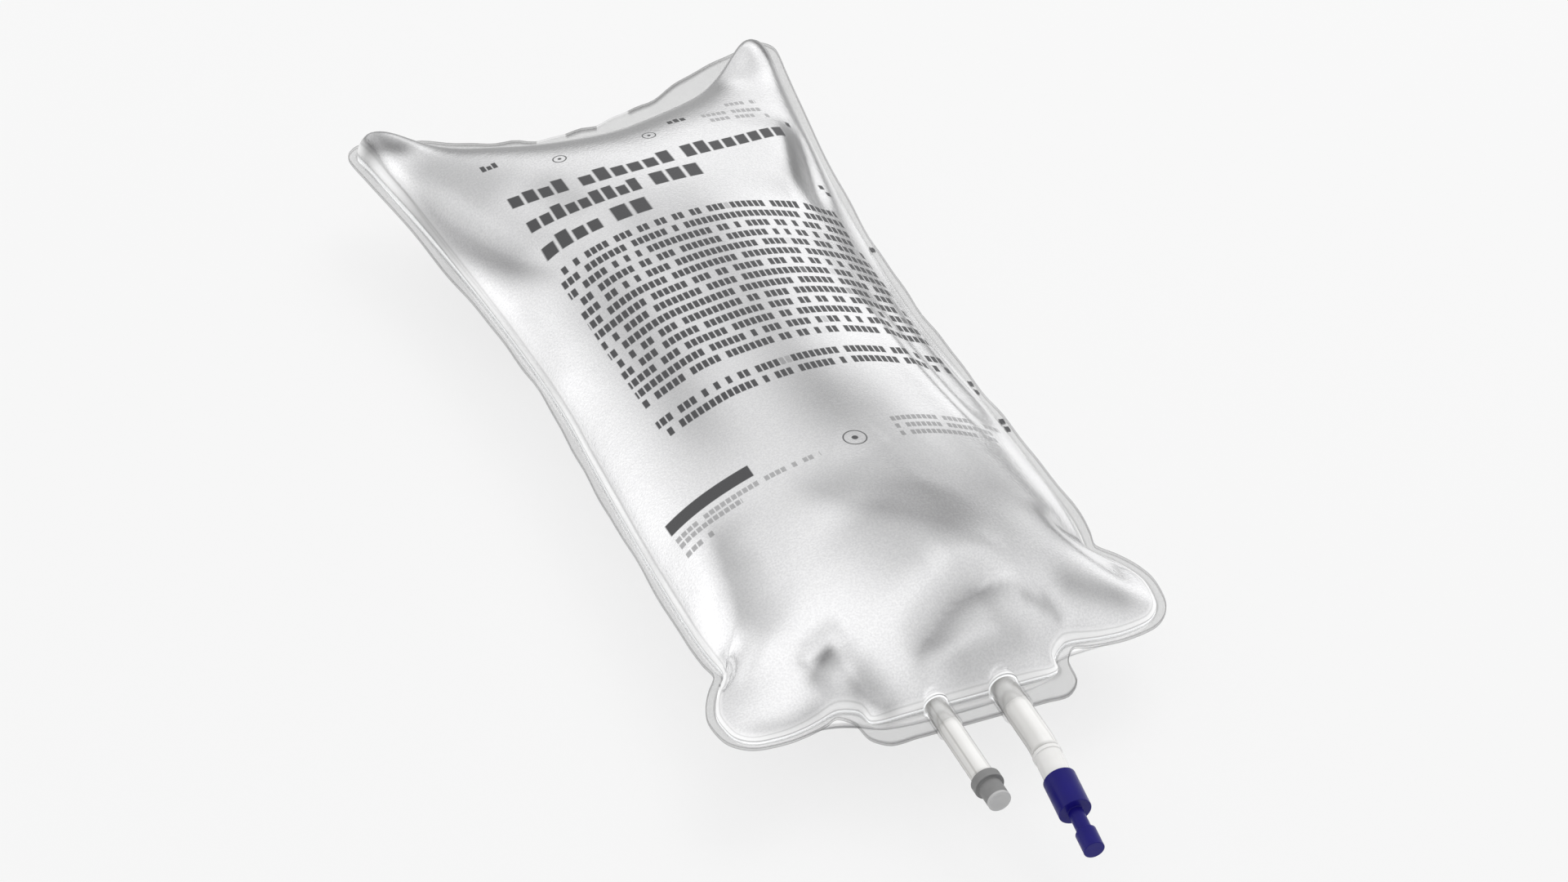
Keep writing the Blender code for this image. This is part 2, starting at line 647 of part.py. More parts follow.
def main():
    clear_scene()
    parts = collection("iv_fluid_bag")
    cutters = collection("cutters")
    film_look = material("clear film", (0.86, 0.87, 0.88), 0.18, 0.45)
    back_look = material("clear film, back", (0.80, 0.81, 0.83), 0.22, 0.55)
    fluid_look = material("saline", (0.83, 0.85, 0.88), 0.05, 0.6)
    tube_look = material("port tube", (0.82, 0.81, 0.78), 0.25, 0.7)
    outlet_look = material("outlet tube", (0.84, 0.83, 0.80), 0.25, 0.7)
    inlet_look = material("membrane tube", (0.78, 0.77, 0.75), 0.25, 0.75)
    stopper_look = material("grey rubber", (0.22, 0.22, 0.22), 0.55)
    closure_look = material("blue plastic", (0.010, 0.012, 0.23), 0.35)

    root = bpy.data.objects.new("bag frame", None)
    parts.objects.link(root)
    cutter = slot_cutter(cutters, root)
    film("front_film", 1, cutter, parts, film_look, root)
    film("back_film", -1, cutter, parts, back_look, root)
    fluid(parts, fluid_look, root)
    _, injection_end = port_tube(
        "injection_port_tube", INJECTION_X, INJECTION_TUBE_D, INJECTION_TUBE_WALL, INJECTION_TUBE_LENGTH,
        INJECTION_DROOP, INJECTION_LEAN, parts, tube_look, root)
    stopper(parts, stopper_look, injection_end)
    _, outlet_end = port_tube(
        "administration_port_tube", OUTLET_X, OUTLET_TUBE_D, OUTLET_TUBE_WALL, OUTLET_TUBE_LENGTH,
        OUTLET_DROOP, OUTLET_LEAN, parts, outlet_look, root)
    membrane_tube(parts, inlet_look, outlet_end)
    _, reach = closure(parts, closure_look, outlet_end)

    axis = port_direction(OUTLET_DROOP, OUTLET_LEAN)
    lowest_rim = CLOSURE_KNOB_D / 2 * math.sqrt(1 - axis.y**2)
    foot_y = outlet_end.location.y + axis.y * reach - lowest_rim
    root.location = (0.0, -(BODY_LENGTH + foot_y) / 2, SEAM_HEIGHT)


main()
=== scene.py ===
import math

import bmesh
import bpy
import numpy as np
from mathutils import Matrix, Vector


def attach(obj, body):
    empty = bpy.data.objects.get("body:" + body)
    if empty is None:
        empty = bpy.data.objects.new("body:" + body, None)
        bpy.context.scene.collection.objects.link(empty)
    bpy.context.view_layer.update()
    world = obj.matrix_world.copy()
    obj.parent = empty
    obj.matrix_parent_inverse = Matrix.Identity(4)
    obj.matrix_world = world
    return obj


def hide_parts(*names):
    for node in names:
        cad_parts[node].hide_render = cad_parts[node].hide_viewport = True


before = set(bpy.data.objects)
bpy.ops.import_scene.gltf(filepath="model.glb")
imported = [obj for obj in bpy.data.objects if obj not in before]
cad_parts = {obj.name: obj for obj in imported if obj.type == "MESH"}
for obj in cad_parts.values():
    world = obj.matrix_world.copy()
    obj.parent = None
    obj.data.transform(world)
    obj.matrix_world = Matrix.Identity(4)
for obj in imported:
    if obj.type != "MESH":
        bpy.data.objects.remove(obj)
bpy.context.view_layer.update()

mm = 0.001
seamZ = 0.0225                      # height of the weld plane above the floor
footY = -0.1129                     # where the foot of the pouch is in the part's frame

bag = {
    "length": 0.290, "halfWidth": 0.0672, "earRadius": 0.0065, "earDepth": 0.0143,
    "hangerBow": 0.0185, "hangerBowPower": 1.5, "waist": 0.0560, "waistY": 0.150, "shoulderPower": 1.8,
    "hip": 0.0595, "hipY": 0.055, "pinch": 0.0580, "pinchY": 0.0370, "lobe": 0.0665, "lobeY": 0.0180,
    "lobeFootY": 0.0020, "lobeSkew": 0.0026, "lobeSkewAtPinch": 0.0057, "lobeRoundness": 0.8,
    "notch": 0.0345, "notchY": 0.0050, "panel": 0.0300, "panelCorner": 0.0045, "panelFootY": -0.0110,
    "panelShoulder": 0.0010, "panelShoulderDrop": 0.0045, "weldStep": 0.0012,
    "sideFlange": 0.0027, "hangerFlange": 0.0150, "hangerFlangeFade": 0.8, "panelFlange": 0.0095,
}
# Where the outline has its points: how many or at which shares of each stretch, in degrees round the ear
outlineSteps = {
    "hanger": 7, "ear": (90, 50, 10), "side": 20, "sideCrowding": 1.2, "sideEvening": 0.35,
    "lobe": (0.25, 0.5, 0.75, 1.0), "foot": (0.3, 0.55, 0.8), "sleeve": 7,
}
film = {
    "thick": 0.0004, "gap": 0.0003, "sleeveReach": 0.003, "rim": 0.0024,
    "frontRise": 0.0262, "powerFrom": 0.175, "powerTo": 0.262, "power": 0.78, "powerAtHanger": 0.40,
    "backFullness": 0.0260, "backPower": 0.52,
    "fullness": ((0, 1.10), (30, 1.16), (55, 1.13), (80, 1.03), (110, 0.99), (150, 0.98), (190, 0.99),
                 (220, 1.03), (240, 1.06), (290, 1.06)),
    "fullnessBlur": 12.0, "foldStart": 0.035, "earRound": 0.0045, "earFromX": 0.030, "earFromY": 0.245,
    "waves": 9, "waveSeed": 7, "waveSlope": 0.010, "waveLengths": (0.022, 0.060), "waveStretch": 0.55,
    "bead": 0.0002, "beadAt": 0.86, "beadWidth": 0.12,
    "flangeWave": 0.0007, "flangeWaves": ((9, 0.7, 1.0), (23, 2.1, 0.6), (41, 0.0, 0.4)),
    "waveCentreY": 0.14, "waveSquash": 2.2, "waveFullY": 0.040,
    "hangerLift": 0.0040, "hangerLiftX": 0.040, "hangerLiftWidth": 0.022, "hangerLiftY": (0.235, 0.262),
}
# The net of the sheet: rings over the flange and the pouch, rungs across the crown, and how long it is solved
net = {
    "flange": (0.0, 0.2, 0.4, 0.55, 0.7, 0.85, 1.0), "bands": 38, "rungs": 38, "finer": 2, "smoothing": 12,
    "crown": 0.36, "crownSquareness": 2.6, "crownEnd": 1.5, "pleatFade": 2.0, "relaxing": 60,
    "ridgeSteps": 6, "steepest": 50, "solveSteps": 900, "solvedTo": 1e-12,
}


def clearSelection():
    for ob in bpy.context.selected_objects:
        ob.select_set(False)


# Plan of the bag: outer edge and weld line
def hangerY(x):
    # the hanger end is bowed in between the ears
    reach = min(abs(x) / (bag["halfWidth"] - bag["earRadius"]), 1.0)
    return bag["length"] - bag["hangerBow"] * (1.0 - reach**bag["hangerBowPower"])


def sideX(y):
    # out to the ear above the waist, out to the hip below it, then in to the pinch above the foot lobe
    if y > bag["waistY"]:
        rise = (y - bag["waistY"]) / (bag["length"] - bag["earRadius"] - bag["waistY"])
        return bag["waist"] + (bag["halfWidth"] - bag["waist"]) * rise**bag["shoulderPower"]
    if y > bag["hipY"]:
        fall = (bag["waistY"] - y) / (bag["waistY"] - bag["hipY"])
        return bag["waist"] + (bag["hip"] - bag["waist"]) * math.sin(fall * math.pi / 2)
    fall = (bag["hipY"] - y) / (bag["hipY"] - bag["pinchY"])
    return bag["hip"] - (bag["hip"] - bag["pinch"]) * fall**2


def ridgeRadius(tubeD):
    # wide enough for a sleeve of flat steps to clear the tube by the gap
    return (tubeD / 2 + film["gap"]) / math.cos(math.pi / net["ridgeSteps"] / 2)


def halfOutline(portX, portD):
    # points of the outer edge from the middle of the hanger end round to the middle of the foot: x, y, and
    # the width of the flange there or else the point on the weld line
    rows = []
    steps = outlineSteps
    end = bag["halfWidth"] - 2 * bag["earRadius"]
    for i in range(steps["hanger"]):
        x = end * i / (steps["hanger"] - 1)
        fade = max(math.cos(x / end * math.pi / 2), 0.0) ** bag["hangerFlangeFade"]
        width = bag["sideFlange"] + (bag["hangerFlange"] - bag["sideFlange"]) * fade
        rows.append((x, hangerY(x), width, None))
    cx, cy = bag["halfWidth"] - bag["earRadius"], bag["length"] - bag["earRadius"]
    weldRadius = bag["earRadius"] - bag["sideFlange"]
    for angle in steps["ear"]:
        x, y = math.cos(math.radians(angle)), math.sin(math.radians(angle))
        rows.append((cx + bag["earRadius"] * x, cy + bag["earRadius"] * y, None,
                     (cx + weldRadius * x, cy + weldRadius * y)))
    top = bag["length"] - bag["earDepth"]
    for i in range(steps["side"]):
        share = 1.0 - (1.0 - i / (steps["side"] - 1)) ** steps["sideCrowding"]
        share += steps["sideEvening"] * ((1.0 - math.cos(math.pi * share)) / 2 - share)
        y = top + (bag["pinchY"] - top) * share
        rows.append((sideX(y), y, bag["sideFlange"], None))
    bulge = bag["lobe"] - bag["pinch"]
    shoulder = bag["pinchY"] - bag["lobeY"]
    footX = (bag["lobe"] + bag["notch"]) / 2
    for share in steps["lobe"]:
        x = bag["pinch"] + bulge * math.sin(share * math.pi / 2)
        rows.append((x, bag["pinchY"] - shoulder * share, bag["sideFlange"], None))
    for share in steps["lobe"]:
        turn = share * math.pi / 2
        x = footX + (bag["lobe"] - footX) * math.cos(turn) ** bag["lobeRoundness"]
        y = bag["lobeY"] - (bag["lobeY"] - bag["lobeFootY"]) * math.sin(turn) ** bag["lobeRoundness"]
        rows.append((x, y, bag["sideFlange"], None))
    for share in steps["foot"]:
        y = bag["lobeFootY"] + (bag["notchY"] - bag["lobeFootY"]) * share**2
        rows.append((footX + (bag["notch"] - footX) * share, y, bag["sideFlange"], None))
    weldY = bag["panelFootY"] + bag["panelFlange"]
    cornerX = bag["panel"] - bag["panelCorner"]
    weldX = bag["panel"] - bag["sideFlange"]
    rows += [
        (bag["notch"], bag["notchY"], bag["sideFlange"], None),
        (bag["panel"] + bag["panelShoulder"], bag["notchY"] - bag["panelShoulderDrop"], None,
         (weldX + bag["panelShoulder"], bag["notchY"] - bag["panelShoulder"])),
        (bag["panel"], bag["panelFootY"] + bag["panelCorner"], None, (weldX, weldY + bag["weldStep"])),
        (cornerX, bag["panelFootY"], None, (min(cornerX, weldX) - bag["weldStep"], weldY)),
    ]
    ridge = ridgeRadius(portD)
    outer = abs(portX) + ridge
    foot = [(cornerX + outer) / 2, outer + bag["weldStep"]]
    last = steps["sleeve"] - 1
    foot += [abs(portX) + ridge * math.cos(math.pi * i / last) for i in range(steps["sleeve"])]
    foot.append(abs(portX) - ridge - bag["weldStep"])
    return rows + [(x, bag["panelFootY"], None, (x, weldY)) for x in foot]


def skewed(ring):
    # the right foot lobe sits a little higher than the left one
    beside = np.clip((np.abs(ring[:, 0]) - bag["panel"]) / (bag["lobe"] - bag["panel"]), 0, 1)
    up = np.interp(ring[:, 1], (bag["lobeFootY"], bag["pinchY"], bag["waistY"]),
                   (bag["lobeSkew"], bag["lobeSkewAtPinch"], 0.0))
    return ring + np.column_stack([np.zeros(len(ring)), np.sign(ring[:, 0]) * up * np.sqrt(beside)])


def smoothRing(ring, passes):
    for _ in range(passes):
        ring = (np.roll(ring, 1, axis=0) + 2 * ring + np.roll(ring, -1, axis=0)) / 4
    return ring


def finerRing(ring):
    # a point midway on each step, on a smooth curve through the four points around it
    near = ring + np.roll(ring, -1, axis=0)
    far = [np.roll(ring, 1, axis=0), np.roll(ring, -2, axis=0)]
    middle = (9 * near - far[0] - far[1]) / 16
    return np.stack([ring, middle], axis=1).reshape(-1, 2)


def outlineRings():
    right = halfOutline(outlet["x"], outlet["tubeD"])
    left = halfOutline(injection["x"], injection["tubeD"])
    middle = (0.0, bag["panelFootY"], None, (0.0, bag["panelFootY"] + bag["panelFlange"]))
    rows = right + [middle] + left[:0:-1]
    side = np.array([1.0] * (len(right) + 1) + [-1.0] * (len(left) - 1))
    edge = np.array([row[:2] for row in rows])
    edge[:, 0] *= side
    along = np.roll(edge, -1, axis=0) - np.roll(edge, 1, axis=0)
    inward = np.stack([along[:, 1], -along[:, 0]], axis=1)
    inward /= np.linalg.norm(inward, axis=1)[:, None]
    weld = np.array([
        (s * row[3][0], row[3][1]) if row[3] else tuple(point + normal * row[2])
        for row, s, point, normal in zip(rows, side, edge, inward)
    ])
    edge, weld = skewed(edge), skewed(weld)
    for _ in range(net["finer"]):
        edge, weld = finerRing(edge), finerRing(weld)
    return edge, weld


def pouchPlan(edge, weld):
    # rings from the outer edge over the flange and the pouch to the crown, then rungs across the crown
    count = len(weld)
    soft = smoothRing(weld, net["smoothing"] * 4 ** net["finer"])
    centreY = (soft[:, 1].max() + soft[:, 1].min()) / 2
    halfLength = (soft[:, 1].max() - soft[:, 1].min()) / 2
    halfWidth = np.abs(soft[:, 0]).max()
    turn = np.arctan2((soft[:, 1] - centreY) / halfLength, soft[:, 0] / halfWidth)
    short = (1 - net["crown"]) * bag["waist"] * net["crownEnd"]
    size = np.array([net["crown"] * bag["waist"], halfLength - short])
    power = net["crownSquareness"]
    square = (np.abs(np.cos(turn)) ** power + np.abs(np.sin(turn)) ** power) ** (-1 / power)
    loop = np.stack([np.cos(turn), np.sin(turn)], axis=1) * square[:, None] * size + (0.0, centreY)
    rings = [edge + (weld - edge) * share for share in net["flange"]]
    flange = [np.full(count, share) for share in net["flange"]]
    lastTurn = math.acos(net["crown"])
    for band in range(1, net["bands"] + 1):
        reach = math.cos(lastTurn * band / net["bands"])
        share = (reach - net["crown"]) / (1 - net["crown"])
        rings.append(loop + share * (soft - loop) + share ** net["pleatFade"] * (weld - soft))
        flange.append(np.full(count, 2.0))
    inner = []
    for k in range(1, count // 2):
        right, left = rings[-1][k], rings[-1][count - k]
        for step in range(1, net["rungs"]):
            inner.append(right + (left - right) * step / net["rungs"])
    plan = np.concatenate(rings + [np.array(inner)])
    flange = np.concatenate(flange + [np.full(len(inner), 2.0)])
    return plan, flange, len(rings)


def relaxed(plan, faces, first):
    # evens out the middle of the sheet, from the point numbered first on
    pairs = np.array([(a, b) for face in faces for a, b in zip(face, face[1:] + face[:1])])
    pairs = np.concatenate([pairs, pairs[:, ::-1]])
    count = np.bincount(pairs[:, 0], minlength=len(plan))[:, None]
    for _ in range(net["relaxing"]):
        sums = [np.bincount(pairs[:, 0], plan[pairs[:, 1], k], len(plan)) for k in (0, 1)]
        plan = np.where((np.arange(len(plan)) >= first)[:, None], np.column_stack(sums) / count, plan)
    return plan


def swell(plan, faces, fixed):
    # how far a skin held at the weld line bulges under an even push: 1 at its fullest, 0 on the weld
    triangles = []
    for face in faces:
        for i in range(1, len(face) - 1):
            triangles.append((face[0], face[i], face[i + 1]))
    tri = np.array(triangles)
    count = len(plan)
    load = np.zeros(count)
    starts, ends, weights = [], [], []
    area = 0.5 * np.abs(np.cross(plan[tri[:, 1]] - plan[tri[:, 0]], plan[tri[:, 2]] - plan[tri[:, 0]]))
    area = np.maximum(area, 1e-12)               # a flat triangle doesn't divide by nothing
    for i in range(3):
        a, b, c = tri[:, i], tri[:, (i + 1) % 3], tri[:, (i + 2) % 3]
        weight = ((plan[a] - plan[c]) * (plan[b] - plan[c])).sum(axis=1) / (4 * area)
        weight = np.clip(weight, -net["steepest"], net["steepest"])
        starts.append(a)
        ends.append(b)
        weights.append(weight)
        load += np.bincount(a, area / 3, count)
    starts, ends, weights = np.concatenate(starts), np.concatenate(ends), np.concatenate(weights)
    diagonal = np.bincount(starts, weights, count) + np.bincount(ends, weights, count)
    free = ~fixed

    # conjugate gradients, which need no matrix
    def push(x):
        return (diagonal * x - np.bincount(starts, weights * x[ends], count)
                - np.bincount(ends, weights * x[starts], count)) * free

    x = np.zeros(count)
    rest = load * free
    scale = np.where(free, 1 / np.maximum(diagonal, 1e-9), 0)
    lead = scale * rest
    step = lead.copy()
    product = rest @ lead
    for _ in range(net["solveSteps"]):
        pushed = push(step)
        length = product / (step @ pushed)
        x += length * step
        rest -= length * pushed
        if np.abs(rest).max() < net["solvedTo"]:
            break
        lead = scale * rest
        fresh = rest @ lead
        step = lead + (fresh / product) * step
        product = fresh
    return np.clip(x / x.max(), 0, 1)


# Heights of the two films
def sleeveHeight(plan):
    # both films rise in a half round over each tube
    height = np.zeros(len(plan))
    for port in (injection, outlet):
        inside = ridgeRadius(port["tubeD"]) ** 2 - (plan[:, 0] - port["x"]) ** 2
        near = plan[:, 1] < bag["panelFootY"] + bag["panelFlange"] + film["sleeveReach"]
        height = np.maximum(height, np.where(near, np.sqrt(np.maximum(inside, 0.0)), 0.0))
    return height


def smoothStep(value, low, high):
    share = np.clip((value - low) / (high - low), 0, 1)
    return share * share * (3 - 2 * share)


# Folds of the front film in plan millimetres: points along the fold, half width to its left and to its
# right, height, and how round its top is (2 is soft, 1 is a crease)
frontFolds = [
    ([(-13, 6), (-6, 14), (5, 21), (16, 25), (27, 23)], 3.2, 6.5, -3.6, 1.6),
    ([(-8, 5), (8, 8), (22, 9)], 5.0, 4.0, 1.6, 2.0),
    ([(2, 31), (14, 33), (28, 30)], 6.0, 5.0, 0.9, 2.0),
    ([(30, 22), (34, 14), (33, 9)], 2.5, 3.0, -1.4, 1.5),
    ([(-41, 18), (-33, 21.5), (-24, 22)], 2.5, 5.0, -2.1, 1.7),
    ([(-29, 20), (-26, 10), (-21, -1)], 3.0, 3.0, -1.8, 1.7),
    ([(-50, 46), (-49, 56), (-48, 66), (-46, 82)], 4.0, 8.0, 0.9, 2.0),
    ([(-40, 30), (-38, 46), (-36, 68)], 5.0, 5.0, -1.0, 2.0),
    ([(-24, 70), (-16, 61), (-5, 57), (12, 55), (26, 60)], 17.0, 9.0, 1.7, 1.7),
    ([(-33, 205), (-26, 175), (-20, 130), (-15, 88)], 9.0, 7.0, 0.8, 2.0),
    ([(-60, 262), (-55, 238), (-46, 212), (-36, 188)], 4.0, 9.0, -2.6, 1.7),
    ([(34, 192), (37.5, 206), (42.5, 222), (50, 242)], 11.0, 4.5, 1.7, 1.3),
    ([(41.5, 188), (46, 205), (50.5, 224), (55, 242)], 4.0, 3.0, -1.5, 1.6),
    ([(48, 178), (46.5, 150), (48, 115), (52, 92), (55, 76)], 2.4, 3.4, 0.9, 1.5),
    ([(33, 160), (35, 125), (38, 96), (44, 74)], 2.6, 2.2, 0.55, 1.5),
    ([(39, 165), (40, 130), (43, 96), (48, 78)], 3.0, 2.6, -0.6, 1.6),
    ([(50, 160), (49, 130), (52, 100)], 2.0, 2.0, -0.6, 1.6),
    ([(46, 56), (51, 42), (57, 28), (65, 16)], 7.0, 6.0, -1.3, 1.9),
    ([(57, 43), (51, 43), (45, 44)], 2.5, 3.0, -0.6, 1.6),
    ([(-58, 26), (-46, 27), (-40, 33)], 5.0, 5.0, 0.9, 2.0),
]
# Painted shade: darker streaks and patches that stand in for the dark reflections and shading of the folds,
# written as the folds are, with a share of darkening
paintedShadeStrokes = [
    ([(-17, 80), (-16, 67), (-11, 57), (-2, 51), (10, 44), (20, 36), (30, 28)], 20.0, 5.0, 0.28, 1.7),
    ([(8, 128), (8, 98), (11, 76), (20, 60), (32, 46), (43, 36), (51, 18)], 17.0, 15.0, 0.33, 2.0),
    ([(4, 226), (4, 190), (3, 150), (2, 100), (2, 70)], 8.0, 12.0, 0.25, 2.0),
    ([(-10, 56), (-4, 41), (2, 26)], 13.0, 14.0, 0.21, 2.0),
    ([(-36, 206), (-32, 176), (-31, 140), (-30, 96), (-25, 78)], 9.0, 9.0, 0.30, 2.0),
    ([(-12, 214), (-13, 190), (-12, 168)], 8.0, 6.0, 0.12, 2.0),
    ([(-40, 80), (-43, 62), (-45, 46), (-49, 26)], 9.0, 2.5, 0.36, 1.8),
    ([(-67, 267), (-60, 242), (-53, 223), (-46, 207), (-36, 188)], 9.0, 4.5, 0.54, 2.0),
    ([(-50, 200), (-50, 178), (-50, 154)], 3.5, 3.5, 0.14, 2.0),
    ([(-57, 270), (-46, 248), (-36, 226)], 9.0, 9.0, 0.22, 2.0),
    ([(-2, 250.5), (10, 253), (22, 258.5), (34, 268)], 3.2, 3.2, 0.50, 2.0),
    ([(-32, 236), (-26, 222), (-22, 206)], 6.0, 6.0, 0.20, 2.0),
    ([(36, 198), (41, 210), (46.5, 222), (51.5, 238)], 3.0, 4.0, 0.44, 1.8),
    ([(47.5, 192), (48, 155), (48, 124), (49, 90)], 3.0, 3.0, 0.42, 2.0),
    ([(51.5, 114), (52.5, 90), (54, 62)], 2.0, 2.0, 0.24, 2.0),
    ([(37, 190), (34, 164), (34.5, 136)], 2.6, 2.4, 0.20, 2.0),
    ([(30, 92), (33, 76), (36, 58), (37, 42)], 8.0, 8.0, 0.22, 2.0),
    ([(33, 25), (41, 19.5), (49, 16), (60, 13)], 5.0, 5.0, 0.38, 2.0),
    ([(41, 54), (43, 43), (46, 28)], 4.5, 4.5, 0.18, 2.0),
    ([(-26, 60), (-4, 42), (24, 34)], 14.0, 14.0, 0.09, 2.0),
    ([(43, 45), (49, 44), (56, 43)], 2.0, 3.0, 0.28, 2.0),
    ([(-40, 10), (-35, 15.5), (-27, 20.5)], 2.5, 5.0, 0.50, 1.8),
    ([(-36, 17), (-32.5, 19), (-28, 20)], 1.8, 3.2, 0.26, 1.8),
    ([(-30, 13), (-26, 6), (-19, -4)], 4.5, 2.6, 0.50, 1.8),
    ([(-62, 10), (-57, 6), (-48, 4.5), (-40, 6), (-33, 10)], 2.5, 2.0, 0.26, 2.0),
    ([(-14, 1), (-7.5, 10.5), (1.5, 17.5), (11.5, 22.5), (21.5, 22), (29, 16)], 2.4, 6.5, 0.52, 1.8),
    ([(23, 18.5), (28, 16.5), (32, 13)], 1.8, 1.8, 0.26, 2.0),
    ([(-8, 1), (6, 4), (18, 7), (28, 11)], 7.0, 6.0, 0.24, 2.0),
    ([(30, 20), (33, 15), (33, 10)], 2.0, 2.0, 0.25, 2.0),
    ([(-65, 285), (-61.5, 277), (-57.5, 271.5), (-52, 266)], 3.4, 2.2, 0.68, 2.2),
    ([(57, 282), (59, 277), (60, 270)], 1.6, 1.6, 0.50, 2.0),
]
strokes = {"cornerCuts": 3, "sideBlend": 0.0015, "taper": 0.3}


def foldHeight(plan, folds):
    # each fold is a bump or a valley along a bent line, which dies out at both of its ends
    total = np.zeros(len(plan))
    for points, leftWidth, rightWidth, high, soft in folds:
        line = np.array(points, float) * mm
        for _ in range(strokes["cornerCuts"]):   # to a smooth line
            cut = np.stack([0.75 * line[:-1] + 0.25 * line[1:], 0.25 * line[:-1] + 0.75 * line[1:]], axis=1)
            line = np.concatenate([line[:1], cut.reshape(-1, 2), line[-1:]])
        steps = np.diff(line, axis=0)
        lengths = np.linalg.norm(steps, axis=1)
        best = np.full(len(plan), np.inf)
        across = np.zeros(len(plan))
        along = np.zeros(len(plan))
        walked = 0.0
        for start, step, length in zip(line, steps, lengths):
            rel = plan - start
            t = np.clip(rel @ step / length**2, 0, 1)
            distance = np.linalg.norm(rel - t[:, None] * step, axis=1)
            closer = distance < best
            best = np.where(closer, distance, best)
            across = np.where(closer, (step[0] * rel[:, 1] - step[1] * rel[:, 0]) / length, across)
            along = np.where(closer, (walked + t * length) / lengths.sum(), along)
            walked += length
        share = smoothStep(across, -strokes["sideBlend"], strokes["sideBlend"])
        width = (rightWidth + (leftWidth - rightWidth) * share) * mm
        taper = smoothStep(along, 0.0, strokes["taper"]) * smoothStep(1 - along, 0.0, strokes["taper"])
        total += high * mm * np.exp(-np.maximum(best / width, 1e-6) ** soft) * taper
    return total


def waviness(plan):
    # slow uneven waves, so that no part of the film is a clean curve
    draw = np.random.default_rng(film["waveSeed"])
    total = np.zeros(len(plan))
    for _ in range(film["waves"]):
        wave = draw.uniform(*film["waveLengths"])
        angle, phase = draw.uniform(0, 2 * math.pi, 2)
        along = plan @ np.array([math.cos(angle), film["waveStretch"] * math.sin(angle)])
        total += film["waveSlope"] * wave / (2 * math.pi) * np.sin(2 * math.pi * along / wave + phase)
    return total


def fullnessAt(y):
    # the written shares of fullness along the bag, in plan millimetres, blurred to a smooth curve
    knots = np.array(film["fullness"])
    step, beyond, reach = 2.0, 90.0, 20
    fine = np.arange(knots[0, 0] - beyond, knots[-1, 0] + beyond, step)
    raw = np.interp(fine, knots[:, 0], knots[:, 1])
    bell = np.exp(-((np.arange(-reach, reach + 1) * step / film["fullnessBlur"]) ** 2))
    return np.interp(y / mm, fine, np.convolve(raw, bell / bell.sum(), "same"))


def fromLine(points, line):
    # distance of every point to a closed line
    best = np.full(len(points), np.inf)
    for start, end in zip(line, np.roll(line, -1, axis=0)):
        step = end - start
        share = np.clip((points - start) @ step / (step @ step), 0, 1)
        best = np.minimum(best, np.linalg.norm(points - start - share[:, None] * step, axis=1))
    return best


# Fullness of the two ears in plan millimetres: centre, half length, half width, turn in degrees, height
earFill = [((-59.0, 280.0), 14.0, 9.0, 122.0, 5.2), ((52.5, 279.0), 13.0, 11.0, 58.0, 7.4)]


def earHeight(plan, weld):
    # a soft mound in each ear that falls to nothing at the weld line
    total = np.zeros(len(plan))
    ear = (plan[:, 1] > film["earFromY"]) & (np.abs(plan[:, 0]) > film["earFromX"])
    shore = np.zeros(len(plan))
    shore[ear] = np.clip(fromLine(plan[ear], weld) / film["earRound"], 0, 1)
    for centre, halfLength, halfWidth, turn, high in earFill:
        a = math.radians(turn)
        rel = plan - np.array(centre) * mm
        along = rel @ np.array([math.cos(a), math.sin(a)]) / (halfLength * mm)
        across = rel @ np.array([-math.sin(a), math.cos(a)]) / (halfWidth * mm)
        total += high * mm * np.exp(-(along**2 + across**2))
    return total * np.sqrt(1 - (1 - shore) ** 2)


def frontHeight(plan, dome, weld):
    # a blunter bulge towards the hanger end, then the folds, the waves and the ears
    atHanger = smoothStep(plan[:, 1], film["powerFrom"], film["powerTo"])
    power = film["power"] + (film["powerAtHanger"] - film["power"]) * atHanger
    raised = film["frontRise"] * dome**power * fullnessAt(plan[:, 1])
    inside = 1 - np.exp(-dome / film["foldStart"])
    raised = raised + (foldHeight(plan, frontFolds) + waviness(plan)) * inside
    raised = raised + earHeight(plan, weld) * (dome > 0)
    return np.maximum(raised, sleeveHeight(plan)) + film["gap"] / 2


def backHeight(plan, dome):
    deepest = seamZ - film["thick"] - film["gap"] / 2          # pressed flat where the bag lies
    pressed = np.minimum(film["backFullness"] * dome ** film["backPower"], deepest)
    return np.maximum(pressed, sleeveHeight(plan)) + film["gap"] / 2


def flangeLift(plan, flange):
    # the loose edge of the flange waves up and down; both films move together
    loose = np.clip(1 - flange, 0, 1)
    turn = np.arctan2(plan[:, 1] - film["waveCentreY"], plan[:, 0] * film["waveSquash"])
    waves = [part * np.sin(count * turn + start) for count, start, part in film["flangeWaves"]]
    wave = film["flangeWave"] * sum(waves)
    atHanger = smoothStep(plan[:, 1], *film["hangerLiftY"])
    lift = film["hangerLift"] * np.exp(-((plan[:, 0] - film["hangerLiftX"]) / film["hangerLiftWidth"]) ** 2)
    return loose * (wave * smoothStep(plan[:, 1], 0.0, film["waveFullY"]) + lift * atHanger)


